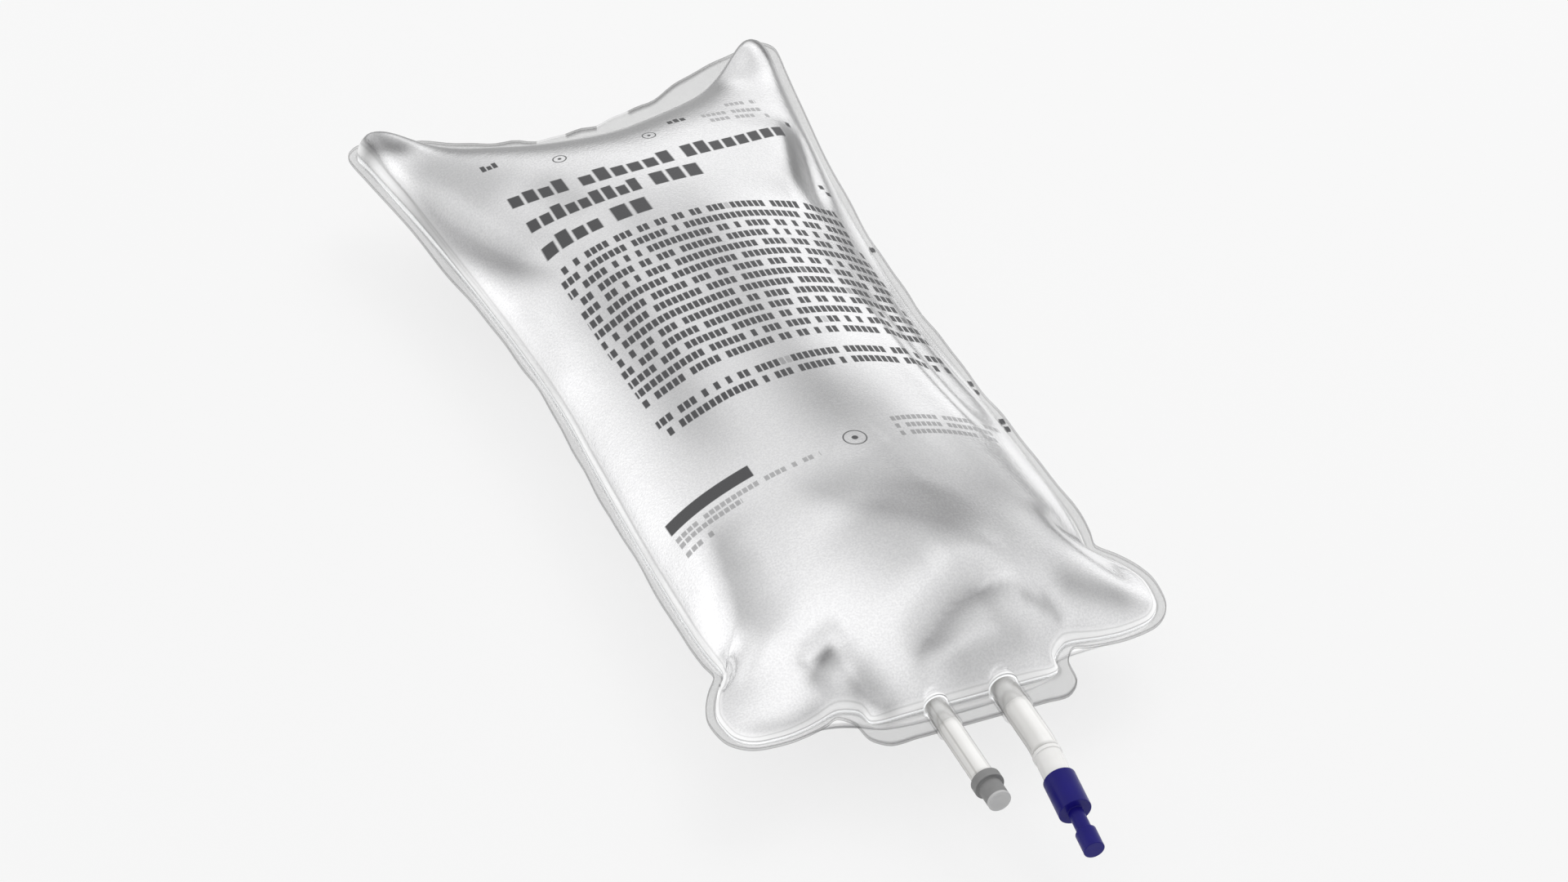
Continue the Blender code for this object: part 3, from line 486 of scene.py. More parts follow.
def filmFaces(count, rings):
    # quads between the rings and between the rungs, with triangles where the rungs end
    faces = []
    for ring in range(rings - 1):
        a, b = ring * count, (ring + 1) * count
        faces += [(a + i, a + (i + 1) % count, b + (i + 1) % count, b + i) for i in range(count)]
    first, innerStart, steps = (rings - 1) * count, rings * count, net["rungs"]
    rungs = [[first]]
    for k in range(1, count // 2):
        start = innerStart + (k - 1) * (steps - 1)
        rungs.append([first + k] + list(range(start, start + steps - 1)) + [first + count - k])
    rungs.append([first + count // 2])
    for upper, lower in zip(rungs, rungs[1:]):
        for i in range(steps):
            corners = [upper[min(i, len(upper) - 1)], lower[min(i, len(lower) - 1)],
                       lower[min(i + 1, len(lower) - 1)], upper[min(i + 1, len(upper) - 1)]]
            faces.append(tuple(dict.fromkeys(corners)))
    return faces


def planOfFilms():
    # everything the films and the fluid share: net, heights of both films, and what the finishes read
    edge, weld = outlineRings()
    plan, flange, rings = pouchPlan(edge, weld)
    faces = filmFaces(len(weld), rings)
    plan = relaxed(plan, faces, (len(net["flange"]) + net["bands"] // 2) * len(weld))
    dome = swell(plan, faces, flange <= 1.0)
    bead = np.exp(-((flange - film["beadAt"]) / film["beadWidth"]) ** 2) * film["bead"]
    lift = flangeLift(plan, flange)
    # painted shade: how much the strokes darken the film's colour at each point
    paintedShade = foldHeight(plan, paintedShadeStrokes) / mm
    shown = flange.copy()
    for port in (injection, outlet):             # the film over a tube shows no weld line
        onTube = np.abs(plan[:, 0] - port["x"]) < ridgeRadius(port["tubeD"])
        shown = np.where(onTube & (flange <= 1.0), 0.5, shown)
    pouch = flange > 1.0
    shown[pouch] = 1 + np.clip(fromLine(plan[pouch], weld) / film["rim"], 0, 1)
    weldStart = (len(net["flange"]) - 1) * len(weld)
    return {"plan": plan, "shown": shown, "paintedShade": paintedShade, "faces": faces, "ring": len(weld),
            "weldStart": weldStart, "weld": plan[weldStart:weldStart + len(weld)],
            "front": lift + bead + frontHeight(plan, dome, weld),
            "back": lift - 0.5 * bead - backHeight(plan, dome)}


def meshObject(name, points, faces):
    mesh = bpy.data.meshes.new(name)
    mesh.from_pydata([tuple(p) for p in points], [], faces)
    mesh.update()
    mesh.shade_smooth()
    ob = bpy.data.objects.new(name, mesh)
    bpy.context.scene.collection.objects.link(ob)
    return ob


def applied(ob, modifier):
    clearSelection()
    ob.select_set(True)
    bpy.context.view_layer.objects.active = ob
    bpy.ops.object.modifier_apply(modifier=modifier.name)


def shownAs(ob, node, body):
    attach(ob, body)
    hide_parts(node)
    return ob


slot = {"width": 0.0220, "height": 0.0056, "depth": 0.024, "roundShare": 0.499, "steps": 12}


def makeSlotCutter():
    # a block with its upright edges rounded until its ends are half circles
    clearSelection()
    bpy.ops.mesh.primitive_cube_add(size=1.0)
    cutter = bpy.context.object
    cutter.name = "slotCutter"
    bpy.ops.object.mode_set(mode="EDIT")
    bpy.ops.transform.resize(value=(slot["width"], slot["height"], slot["depth"]))
    y = bag["length"] - bag["hangerBow"] - bag["hangerFlange"] / 2 + footY
    bpy.ops.transform.translate(value=(0.0, y, seamZ))
    bpy.ops.mesh.select_all(action="DESELECT")
    bpy.ops.object.mode_set(mode="OBJECT")
    for edge in cutter.data.edges:
        low, high = (cutter.data.vertices[i].co.z for i in edge.vertices)
        edge.select = abs(high - low) > slot["depth"] / 2
    bpy.ops.object.mode_set(mode="EDIT")
    bpy.ops.mesh.bevel(offset=slot["height"] * slot["roundShare"], segments=slot["steps"])
    bpy.ops.object.mode_set(mode="OBJECT")
    return cutter


def makeFilm(name, side, cutter):
    # two layers, one film's thickness apart in height, joined along the outer edge; the finish reads from two
    # attributes how far in a point is and how much painted shade darkens it
    plan = sheet["plan"]
    height = sheet["front"] if side > 0 else sheet["back"]
    inner = np.column_stack([plan[:, 0], plan[:, 1] + footY, height + seamZ])
    count, rim = len(plan), sheet["ring"]
    outward = [face[::side * -1] for face in sheet["faces"]]
    faces = [tuple(i + count for i in face) for face in outward] + [face[::-1] for face in outward]
    for i in range(rim):
        j = (i + 1) % rim
        faces.append((j, i, i + count, j + count)[::side])
    ob = meshObject(name, np.concatenate([inner, inner + (0.0, 0.0, side * film["thick"])]).tolist(), faces)
    for key, values in (("flange", "shown"), ("paintedShade", "paintedShade")):
        layer = ob.data.attributes.new(key, "FLOAT", "POINT")
        layer.data.foreach_set("value", np.tile(sheet[values], 2).astype(np.float32))
    cut = ob.modifiers.new("slot", "BOOLEAN")
    cut.operation = "DIFFERENCE"
    cut.solver = "EXACT"
    cut.object = cutter
    applied(ob, cut)
    return ob


def makeFluid():
    # the space between the films, one gap clear of each, closed at the weld line
    start = sheet["weldStart"]
    plan = sheet["plan"][start:]
    inside = [tuple(i - start for i in face) for face in sheet["faces"] if min(face) >= start]
    count = len(plan)
    clear = 2 * film["gap"]
    top = np.maximum(sheet["front"][start:] - clear, 0)
    bottom = np.minimum(sheet["back"][start:] + clear, 0)
    upper = np.column_stack([plan[:, 0], plan[:, 1] + footY, seamZ + top])
    lower = np.column_stack([plan[:, 0], plan[:, 1] + footY, seamZ + bottom])
    rim = sheet["ring"]
    middle = np.column_stack([sheet["weld"][:, 0], sheet["weld"][:, 1] + footY, np.full(rim, seamZ)])
    upper[:rim] = lower[:rim] = middle
    faces = [face[::-1] for face in inside] + [tuple(i + count for i in face) for face in inside]
    ob = meshObject("fluid", np.concatenate([upper, lower]).tolist(), faces)
    weldUp = bmesh.new()                         # upper and lower half share the weld line
    weldUp.from_mesh(ob.data)
    bmesh.ops.remove_doubles(weldUp, verts=weldUp.verts, dist=1e-7)
    weldUp.to_mesh(ob.data)
    weldUp.free()
    return ob


# Port tubes and the turned pieces on their ends
tubes = {"bends": 14, "bendStart": 0.68, "bendPower": 0.6, "sides": 64}
injection = {"x": -0.0087, "tubeD": 0.0063, "wall": 0.0009, "length": 0.0312, "droop": 1.5, "lean": 0.8,
             "collarD": 0.0084, "collarLength": 0.0028, "bodyD": 0.0065, "bodyLength": 0.0062,
             "plugLength": 0.0060, "dimple": 0.0018, "dimpleSlope": 0.0006, "dimpleDepth": 0.0004}
outlet = {"x": 0.0108, "tubeD": 0.0077, "wall": 0.0010, "length": 0.0276, "droop": 7.5, "lean": -3.5,
          "plugLength": 0.0035, "ringD": 0.0081, "ringLength": 0.0012, "bodyD": 0.0076, "bodyLength": 0.0078,
          "spigotD": 0.0058, "spigotLength": 0.0100, "boreD": 0.0036, "membrane": 0.0006,
          "membraneDepth": 0.0125}
rounding = {"width": 0.00018, "segments": 3, "fromAngle": 40}


def heading(port, share):
    # the way a tube points when it has bent by a share of its droop and lean
    droop, lean = math.radians(port["droop"]) * share, math.radians(port["lean"]) * share
    return Vector((math.sin(lean) * math.cos(droop), -math.cos(lean) * math.cos(droop), -math.sin(droop)))


def routeOf(port):
    # centre line: straight through the panel, then bending to its droop and lean
    startY = bag["panelFootY"] + bag["panelFlange"]
    straight = bag["panelFlange"] + bag["weldStep"]
    points = [Vector((port["x"], startY, 0.0)), Vector((port["x"], startY - straight, 0.0))]
    step = (port["length"] - straight) / tubes["bends"]
    for i in range(tubes["bends"]):
        share = max(0.0, ((i + 0.5) / tubes["bends"] - tubes["bendStart"]) / (1 - tubes["bendStart"]))
        points.append(points[-1] + heading(port, share ** tubes["bendPower"]) * step)
    return [point + Vector((0.0, footY, seamZ)) for point in points]


def endOf(port):
    turn = heading(port, 1.0).to_track_quat("Z", "Y")
    return Matrix.Translation(routeOf(port)[-1]) @ turn.to_matrix().to_4x4()


def makeTube(name, port):
    # a round curve along the route, made a mesh, with its wall grown inwards
    curve = bpy.data.curves.new(name, "CURVE")
    curve.dimensions = "3D"
    curve.bevel_depth = port["tubeD"] / 2
    curve.bevel_resolution = tubes["sides"] // 2 - 2
    line = curve.splines.new("POLY")
    route = routeOf(port)
    line.points.add(len(route) - 1)
    for point, co in zip(line.points, route):
        point.co = (*co, 1.0)
    ob = bpy.data.objects.new(name, curve)
    bpy.context.scene.collection.objects.link(ob)
    clearSelection()
    ob.select_set(True)
    bpy.context.view_layer.objects.active = ob
    bpy.ops.object.convert(target="MESH")
    ob.data.shade_smooth()
    wall = ob.modifiers.new("wall", "SOLIDIFY")
    wall.thickness = port["wall"]
    wall.offset = -1.0
    applied(ob, wall)
    return ob


def makeTurned(name, profile, end):
    # a disc is drawn out step by step through the profile's rings, which are (radius, height)
    clearSelection()
    bpy.ops.mesh.primitive_circle_add(vertices=tubes["sides"], radius=profile[0][0], fill_type="NGON")
    ob = bpy.context.object
    ob.name = name
    bpy.ops.object.mode_set(mode="EDIT")
    bpy.ops.mesh.select_all(action="SELECT")
    bpy.ops.transform.translate(value=(0.0, 0.0, profile[0][1]))
    for (radius, height), (nextRadius, nextHeight) in zip(profile, profile[1:]):
        bpy.ops.mesh.extrude_region_move(TRANSFORM_OT_translate={"value": (0.0, 0.0, nextHeight - height)})
        bpy.ops.transform.resize(value=(nextRadius / radius, nextRadius / radius, 1.0))
    bpy.ops.mesh.select_all(action="SELECT")
    bpy.ops.mesh.normals_make_consistent(inside=False)
    bpy.ops.object.mode_set(mode="OBJECT")
    ob.data.shade_smooth()
    corners = ob.modifiers.new("rounding", "BEVEL")
    corners.width = rounding["width"]
    corners.segments = rounding["segments"]
    corners.angle_limit = math.radians(rounding["fromAngle"])
    corners.harden_normals = True
    applied(ob, corners)
    ob.data.transform(end)
    return ob


def boreRadius(port):
    # what fits in a tube's bore with a gap round it
    return port["tubeD"] / 2 - port["wall"] - film["gap"]


def makeStopper():
    p, gap = injection, film["gap"]
    collar, body, plug = p["collarD"] / 2, p["bodyD"] / 2, boreRadius(p)
    collarTop = gap + p["collarLength"]
    top = collarTop + p["bodyLength"]
    profile = [(p["dimple"], top - p["dimpleDepth"]), (p["dimple"] + p["dimpleSlope"], top), (body, top),
               (body, collarTop), (collar, collarTop), (collar, gap), (plug, gap), (plug, -p["plugLength"])]
    return makeTurned("injectionStopper", profile, endOf(p))


def makeMembraneTube():
    p, gap = outlet, film["gap"]
    bore, spigot, plug = p["boreD"] / 2, p["spigotD"] / 2, boreRadius(p)
    body, ring = p["bodyD"] / 2, p["ringD"] / 2
    ringTop = gap + p["ringLength"]
    bodyTop = ringTop + p["bodyLength"]
    top = bodyTop + p["spigotLength"]
    webTop = top - p["membraneDepth"]
    profile = [(bore, webTop), (bore, top), (spigot, top), (spigot, bodyTop), (body, bodyTop),
               (body, ringTop), (ring, ringTop), (ring, gap), (plug, gap), (plug, -p["plugLength"]),
               (bore, -p["plugLength"]), (bore, webTop - p["membrane"])]
    return makeTurned("membraneTube", profile, endOf(p)), bodyTop + gap, top + gap


closure = {"collarD": 0.0091, "collarLength": 0.0117, "neckD": 0.0042, "neckLength": 0.0074,
           "knobD": 0.0058, "knobLength": 0.0064}


def makeClosure(seat, boreTop):
    # a collar with a blind bore over the spigot, a thin neck and a knob
    c = closure
    collar, neck, knob = c["collarD"] / 2, c["neckD"] / 2, c["knobD"] / 2
    bore = outlet["spigotD"] / 2 + film["gap"]
    collarTop = c["collarLength"]
    knobFoot = collarTop + c["neckLength"]
    top = knobFoot + c["knobLength"]
    profile = [(knob, top), (knob, knobFoot), (neck, knobFoot), (neck, collarTop), (collar, collarTop),
               (collar, 0.0), (bore, 0.0), (bore, boreTop - seat)]
    return makeTurned("portClosure", profile, endOf(outlet) @ Matrix.Translation((0.0, 0.0, seat)))


sheet = planOfFilms()
slotCutter = makeSlotCutter()
frontFilm = shownAs(makeFilm("frontFilm", 1, slotCutter), "front_film", "bag")
backFilm = shownAs(makeFilm("backFilm", -1, slotCutter), "back_film", "bag")
bpy.data.objects.remove(slotCutter)
fluid = shownAs(makeFluid(), "saline", "bag")
print("films made", len(frontFilm.data.polygons), len(backFilm.data.polygons))
injectionTube = shownAs(makeTube("injectionTube", injection), "injection_port_tube", "bag")
outletTube = shownAs(makeTube("outletTube", outlet), "administration_port_tube", "bag")
stopper = shownAs(makeStopper(), "injection_stopper", "bag")
membraneTube, seat, boreTop = makeMembraneTube()
shownAs(membraneTube, "membrane_tube", "bag")
portClosure = shownAs(makeClosure(seat, boreTop), "port_closure", "closure")
print("ports made")


# Shader maths as plain expressions
class Socket:
    def __init__(self, tree, link):
        self.tree, self.link = tree, link

    def math(self, operation, *others):
        node = self.tree.nodes.new("ShaderNodeMath")
        node.operation = operation
        for index, value in enumerate((self, *others)):
            if isinstance(value, Socket):
                self.tree.links.new(value.link, node.inputs[index])
            else:
                node.inputs[index].default_value = value
        return Socket(self.tree, node.outputs[0])

    def __add__(self, other):
        return self.math("ADD", other)

    def __sub__(self, other):
        return self.math("SUBTRACT", other)

    def __mul__(self, other):
        return self.math("MULTIPLY", other)

    def __rsub__(self, other):
        return (self * -1.0) + other

    __radd__ = __add__
    __rmul__ = __mul__


class Nodes:
    def __init__(self, tree):
        self.tree = tree

    def node(self, kind, settings=None, inputs=None, out=0):
        # returns one output, or a list of them where out is a tuple
        made = self.tree.nodes.new(kind)
        for key, value in (settings or {}).items():
            setattr(made, key, value)
        for key, value in (inputs or {}).items():
            if isinstance(value, Socket):
                self.tree.links.new(value.link, made.inputs[key])
            else:
                made.inputs[key].default_value = value
        if isinstance(out, tuple):
            return [Socket(self.tree, made.outputs[key]) for key in out]
        return Socket(self.tree, made.outputs[out])


class Finish(Nodes):
    def __init__(self, name, colour, roughness, **fixed):
        self.material = bpy.data.materials.new(name)
        self.material.use_nodes = True
        super().__init__(self.material.node_tree)
        self.shader = self.tree.nodes["Principled BSDF"]
        self.shader.inputs["Base Color"].default_value = (*colour, 1.0)
        self.shader.inputs["Roughness"].default_value = roughness
        for key, value in fixed.items():
            self.shader.inputs[key.replace("_", " ")].default_value = value

    def feed(self, name, value):
        self.tree.links.new(value.link, self.shader.inputs[name])

    def mix(self, factor, first, second):
        # colours are sockets, or written as three shares
        first, second = (c if isinstance(c, Socket) else (*c, 1.0) for c in (first, second))
        return self.node("ShaderNodeMix", {"data_type": "RGBA"}, {0: factor, 6: first, 7: second}, 2)

    def place(self):
        # where a point is, and its plan in millimetres
        self.at = self.node("ShaderNodeTexCoord", out="Object")
        x, y = self.node("ShaderNodeSeparateXYZ", None, {0: self.at}, (0, 1))
        self.x, self.y = x * (1 / mm), (y - footY) * (1 / mm)

    def noise(self, at, scale, detail=3.0):
        return self.node("ShaderNodeTexNoise", None, {"Vector": at, "Scale": scale, "Detail": detail})

    def grain(self, height, strength, distance):
        sockets = {"Height": height, "Strength": strength, "Distance": distance}
        self.feed("Normal", self.node("ShaderNodeBump", None, sockets))

    def onto(self, *obs):
        for ob in obs:
            ob.data.materials.clear()
            ob.data.materials.append(self.material)


def over(value, limit, soft):
    return ((value - limit) * (1.0 / soft) + 0.5).math("MINIMUM", 1.0).math("MAXIMUM", 0.0)


def under(value, limit, soft):
    return ((limit - value) * (1.0 / soft) + 0.5).math("MINIMUM", 1.0).math("MAXIMUM", 0.0)


def between(value, low, high, soft):
    return over(value, low, soft) * under(value, high, soft)


# Print: plain blocks set out in rows, all in plan millimetres
title = {
    # start, end, blocks, foot of the row, how far the row has risen 50 mm from its middle, height
    "words": (
        (-40, -23, 4, 219.6, 9.0, 6.6), (-20, 9, 6, 219.6, 9.0, 6.6), (12, 47, 8, 219.6, 9.0, 6.6),
        (-39, -5, 9, 210.2, 3.6, 6.4), (-2, 14, 3, 210.2, 3.6, 6.4), (-39, -21, 4, 199.6, 0.6, 6.8),
        (-18, -6, 2, 199.6, 0.6, 6.8), (-41, -36, 3, 242.8, 3.0, 3.0), (15, 21, 3, 241.0, 3.0, 3.0),
    ),
    "bowCentre": -4.0, "bowScale": 1 / 50, "low": 0.72, "tallFrom": 0.45, "tallSoft": 0.02, "endSoft": 0.2,
    "seed": 0.5,
}
smallPrint = {"left": -39.0, "right": 47.5, "top": 194.0, "pitch": 4.96, "height": 3.1, "block": 1.78,
              "rise": 2.6, "gaps": 0.21, "rows": 14, "lastRows": 17, "rowFoot": 0.06, "rowSoft": 0.07,
              "seed": 0.5, "rowSeed": 3.5}
faintPrint = {
    # start, end and foot of each row
    "rows": ((35, 45, 244.0), (24, 45, 239.4), (27, 46, 235.8), (16, 50, 83.2), (16, 46, 79.8),
             (16, 46, 76.4), (-50, -8, 76.4), (-50, -32, 73.6), (-50, -42, 69.2)),
    "tilt": 0.075, "block": 1.6, "height": 2.0, "gaps": 0.2, "share": 0.55, "seed": 20.5,
}
bar = {"left": -50.0, "right": -26.0, "foot": 80.6, "top": 85.4}
ringMarks = {"places": ((-20.0, 237.5, 2.0), (7.5, 237.5, 2.0), (3.0, 79.5, 3.3)), "inside": 0.3,
             "outside": 0.1, "dot": 0.28, "soft": 0.25}
edgeMarks = {"places": ((50.5, 237.0), (49.0, 209.0), (50.0, 206.0), (55.5, 187.0), (56.0, 120.0),
                        (56.0, 116.0), (57.0, 101.0), (57.0, 97.5)), "halfWidth": 0.7, "halfHeight": 1.0}
ink = {"colour": (0.055, 0.055, 0.058), "soft": 0.3, "blockEdge": 0.10, "sharp": 0.01, "roughness": 0.25}


def luck(finish, a, b):
    at = finish.node("ShaderNodeCombineXYZ", None, {0: a, 1: b})
    return finish.node("ShaderNodeTexWhiteNoise", {"noise_dimensions": "2D"}, {"Vector": at})


def blocks(cells):
    # the number of the block that a point is in, and where the block has ink
    cell = cells.math("FLOOR")
    return cell, between(cells - cell, ink["blockEdge"], 1.0 - ink["blockEdge"], ink["blockEdge"])


def titleInk(finish, x, y):
    total = None
    bows = {}
    for index, (start, end, count, foot, rise, height) in enumerate(title["words"]):
        if (foot, rise) not in bows:
            bow = (x - title["bowCentre"]) * title["bowScale"]
            bows[foot, rise] = y - foot - bow * bow * rise
        high = bows[foot, rise]
        cell, inside = blocks((x - start) * (count / (end - start)))
        tall = over(luck(finish, cell, index + title["seed"]), title["tallFrom"], title["tallSoft"])
        tall = tall * ((1 - title["low"]) * height) + title["low"] * height
        word = inside * over(high, 0.0, ink["soft"]) * over(tall - high, 0.0, ink["soft"])
        word = word * between(x, start, end, title["endSoft"])
        total = word if total is None else total.math("MAXIMUM", word)
    return total


def smallInk(finish, x, y):
    s = smallPrint
    across = (x - s["left"]) * (1.0 / (s["right"] - s["left"]))
    level = (s["top"] - y + across * s["rise"]) * (1.0 / s["pitch"])
    row = level.math("FLOOR")
    inRow = between(level - row, s["rowFoot"], s["rowFoot"] + s["height"] / s["pitch"], s["rowSoft"])
    cells = (x - s["left"]) * (1.0 / s["block"]) + luck(finish, row, s["rowSeed"])
    cell, inside = blocks(cells)
    gap = under(luck(finish, cell, row + s["seed"]), s["gaps"], ink["sharp"])
    before = under(luck(finish, cell - 1.0, row + s["seed"]), s["gaps"], ink["sharp"])
    word = 1 - gap * (1 - before)                # never two gaps beside each other
    used = between(level, 0.0, s["rows"], ink["sharp"])
    used = used + between(level, s["rows"] + 1, s["lastRows"], ink["sharp"])
    return inside * inRow * word * used * between(x, s["left"], s["right"], ink["soft"])


def faintInk(finish, x, y):
    total = None
    tilt = x * faintPrint["tilt"]
    for index, (start, end, foot) in enumerate(faintPrint["rows"]):
        high = y - foot - tilt if start > 0 else y - foot
        cell, inside = blocks((x - start) * (1.0 / faintPrint["block"]))
        word = over(luck(finish, cell, index + faintPrint["seed"]), faintPrint["gaps"], ink["sharp"]) * inside
        row = word * between(high, 0.0, faintPrint["height"], ink["soft"])
        row = row * between(x, start, end, ink["soft"])
        total = row if total is None else total + row
    return total * faintPrint["share"]


def markInk(x, y):
    total = between(x, bar["left"], bar["right"], ink["soft"])
    total = total * between(y, bar["foot"], bar["top"], ink["soft"])
    for cx, cy, radius in ringMarks["places"]:
        dx, dy = x - cx, y - cy
        away = (dx * dx + dy * dy).math("SQRT")
        low, high = radius - ringMarks["inside"], radius + ringMarks["outside"]
        total = total + between(away, low, high, ringMarks["soft"])
        total = total + under(away, ringMarks["dot"] * radius, ringMarks["soft"])
    wide, tall = edgeMarks["halfWidth"], edgeMarks["halfHeight"]
    for cx, cy in edgeMarks["places"]:
        mark = between(x, cx - wide, cx + wide, ink["soft"]) * between(y, cy - tall, cy + tall, ink["soft"])
        total = total + mark
    return total.math("MINIMUM", 1.0)


# The flange attribute is 0 at the outer edge, 1 at the weld and 2 inside the pouch's white rim
filmLook = {
    "colour": (0.975, 0.975, 0.98), "second": (0.83, 0.83, 0.84), "roughness": 0.14, "metallic": 0.9,
    "cloud": 14.0, "cloudShare": 0.4, "speckle": 1700.0, "speckleSoft": 0.3, "speckleShare": 0.6,
    "mostPaintedShade": 0.8, "pouchFrom": 1.02, "pouchSoft": 0.03,
    "rim": (0.93, 0.93, 0.93), "rimAt": 1.5, "rimSoft": 0.7, "rimShare": 0.85,
    "rimLine": 0.25, "rimLineAt": 1.42, "rimLineHalf": 0.06, "rimLineSoft": 0.08,
    "flange": (0.48, 0.48, 0.48), "flangeRoughness": 0.10, "flangeAlpha": 0.15,
    "edge": (0.16, 0.16, 0.16), "edgeAlpha": 0.24, "edgeLine": 0.07, "edgeSoft": 0.06,
    "weldFrom": 0.78, "weldTo": 0.98, "weldSoft": 0.12, "weldAlpha": 0.035,
    "grain": 0.26, "fineGrain": 1500.0, "softGrain": 160.0, "softShare": 1.5, "grainHeight": 0.0002,
    # the last two are painted light: how brightly the rim of each film's pouch glows
    "grainFrom": 1.5, "grainSoft": 0.9, "paintedFrontRimLight": 0.10, "paintedBackRimLight": 0.38,
}
black, white = (0.0, 0.0, 0.0), (1.0, 1.0, 1.0)


def makeFilmFinish(name, printed, paintedRimLight):
    look = filmLook
    finish = Finish(name, look["colour"], look["roughness"], Metallic=look["metallic"], Emission_Strength=1.0)
    finish.place()
    at, x, y = finish.at, finish.x, finish.y
    share = finish.node("ShaderNodeAttribute", {"attribute_name": "flange"}, out=2)
    paintedShade = finish.node("ShaderNodeAttribute", {"attribute_name": "paintedShade"}, out=2)
    pouch = over(share, look["pouchFrom"], look["pouchSoft"])
    rim = under(share, look["rimAt"], look["rimSoft"])
    low, high = look["rimLineAt"] - look["rimLineHalf"], look["rimLineAt"] + look["rimLineHalf"]
    rimLine = between(share, low, high, look["rimLineSoft"])
    edge = under(share, look["edgeLine"], look["edgeSoft"])
    weldLine = between(share, look["weldFrom"], look["weldTo"], look["weldSoft"])

    speckle = over(finish.noise(at, look["speckle"], 1.0), 0.5, look["speckleSoft"])
    cloud = finish.noise(at, look["cloud"]) * look["cloudShare"] + speckle * look["speckleShare"]
    colour = finish.mix(cloud, look["colour"], look["second"])
    colour = finish.mix(rim * look["rimShare"], colour, look["rim"])
    colour = finish.mix(rimLine * look["rimLine"], colour, look["edge"])
    # painted shade: the strokes darken the film's colour towards black
    colour = finish.mix(paintedShade.math("MINIMUM", look["mostPaintedShade"]), colour, black)
    colour = finish.mix(pouch, finish.mix(edge + weldLine, look["flange"], look["edge"]), colour)
    metal = pouch * (look["metallic"] - rim * (look["rimShare"] * look["metallic"]))
    rough = pouch * (look["roughness"] - look["flangeRoughness"]) + look["flangeRoughness"]
    alpha = pouch + edge * look["edgeAlpha"] + weldLine * look["weldAlpha"] + look["flangeAlpha"]
    if printed:
        mask = titleInk(finish, x, y).math("MAXIMUM", markInk(x, y))
        mask = mask.math("MAXIMUM", smallInk(finish, x, y)).math("MAXIMUM", faintInk(finish, x, y))
        colour = finish.mix(mask, colour, ink["colour"])
        metal = metal * (1 - mask)
        rough = rough + mask * ink["roughness"]
        alpha = alpha + mask
    finish.feed("Base Color", colour)
    finish.feed("Metallic", metal)
    finish.feed("Roughness", rough)
    finish.feed("Alpha", alpha.math("MINIMUM", 1.0))
    # painted light: the pouch's white rim glows, standing in for light that comes through the clear fluid and
    # film
    finish.feed("Emission Color", finish.mix(pouch * rim * paintedRimLight, black, white))
    grain = finish.noise(at, look["fineGrain"], 2.0) + finish.noise(at, look["softGrain"]) * look["softShare"]
    grain = grain * over(share, look["grainFrom"], look["grainSoft"])
    finish.grain(grain, look["grain"], look["grainHeight"])
    return finish


# Two shades that a slow cloud mixes, for each of the smaller pieces
cloudLooks = {
    "saline": {"plain": (0.85, 0.87, 0.88), "roughness": 0.05, "cloud": 20.0,
               "shades": ((0.86, 0.88, 0.89), (0.80, 0.82, 0.83))},
    "clear tube": {"plain": (0.86, 0.85, 0.82), "roughness": 0.10, "cloud": 120.0,
                   "shades": ((0.92, 0.915, 0.90), (0.82, 0.815, 0.80))},
    "inner tube": {"plain": (0.80, 0.80, 0.78), "roughness": 0.2, "cloud": 150.0,
                   "shades": ((0.86, 0.855, 0.84), (0.74, 0.735, 0.72))},
    "grey rubber": {"plain": (0.22, 0.22, 0.22), "roughness": 0.5, "cloud": 300.0,
                    "shades": ((0.24, 0.24, 0.24), (0.18, 0.18, 0.18))},
    "blue plastic": {"plain": (0.008, 0.006, 0.15), "roughness": 0.30, "cloud": 260.0,
                     "shades": ((0.010, 0.007, 0.165), (0.007, 0.005, 0.12))},
}
# painted light: the saline glows evenly, standing in for light passing through it
paintedFluidLight = (0.6, 0.6, 0.6)
# Painted shade along the tubes: dark lines where the clear tube turns away and darker sides across it; shares
# that face away, then millimetres across, each with its softness and depth
tubeLook = {
    "coat": 0.3, "line": (0.22, 0.21, 0.19), "rimFrom": 0.86, "rimSoft": 0.16, "rimDepth": 0.7,
    "wall": (0.52, 0.62), "wallSoft": 0.06, "wallDepth": 0.2, "thin": (-2.3, -1.95), "thinSoft": 0.3,
    "thinDepth": 0.35, "leftFrom": -1.1, "leftSoft": 1.6, "leftDepth": 0.24,
    "rightFrom": 2.2, "rightSoft": 1.2, "rightDepth": 0.12, "betweenTubes": 1.0,
}
rubberLook = {"end": (0.48, 0.48, 0.48), "endY": -41.2, "endSoft": 0.12, "grain": 0.2, "fineGrain": 2500.0}
plasticLook = {"specular": 0.18, "grain": 0.12, "fineGrain": 2200.0}
smoothGrain = 0.0001


def cloudFinish(name, **fixed):
    look = cloudLooks[name]
    finish = Finish(name, look["plain"], look["roughness"], **fixed)
    finish.place()
    return finish, finish.mix(finish.noise(finish.at, look["cloud"]), *look["shades"])


def makeFluidFinish():
    # painted light: the saline glows with an even emission
    finish, cloud = cloudFinish("saline", Emission_Color=(*paintedFluidLight, 1.0), Emission_Strength=1.0)
    finish.feed("Base Color", cloud)
    return finish


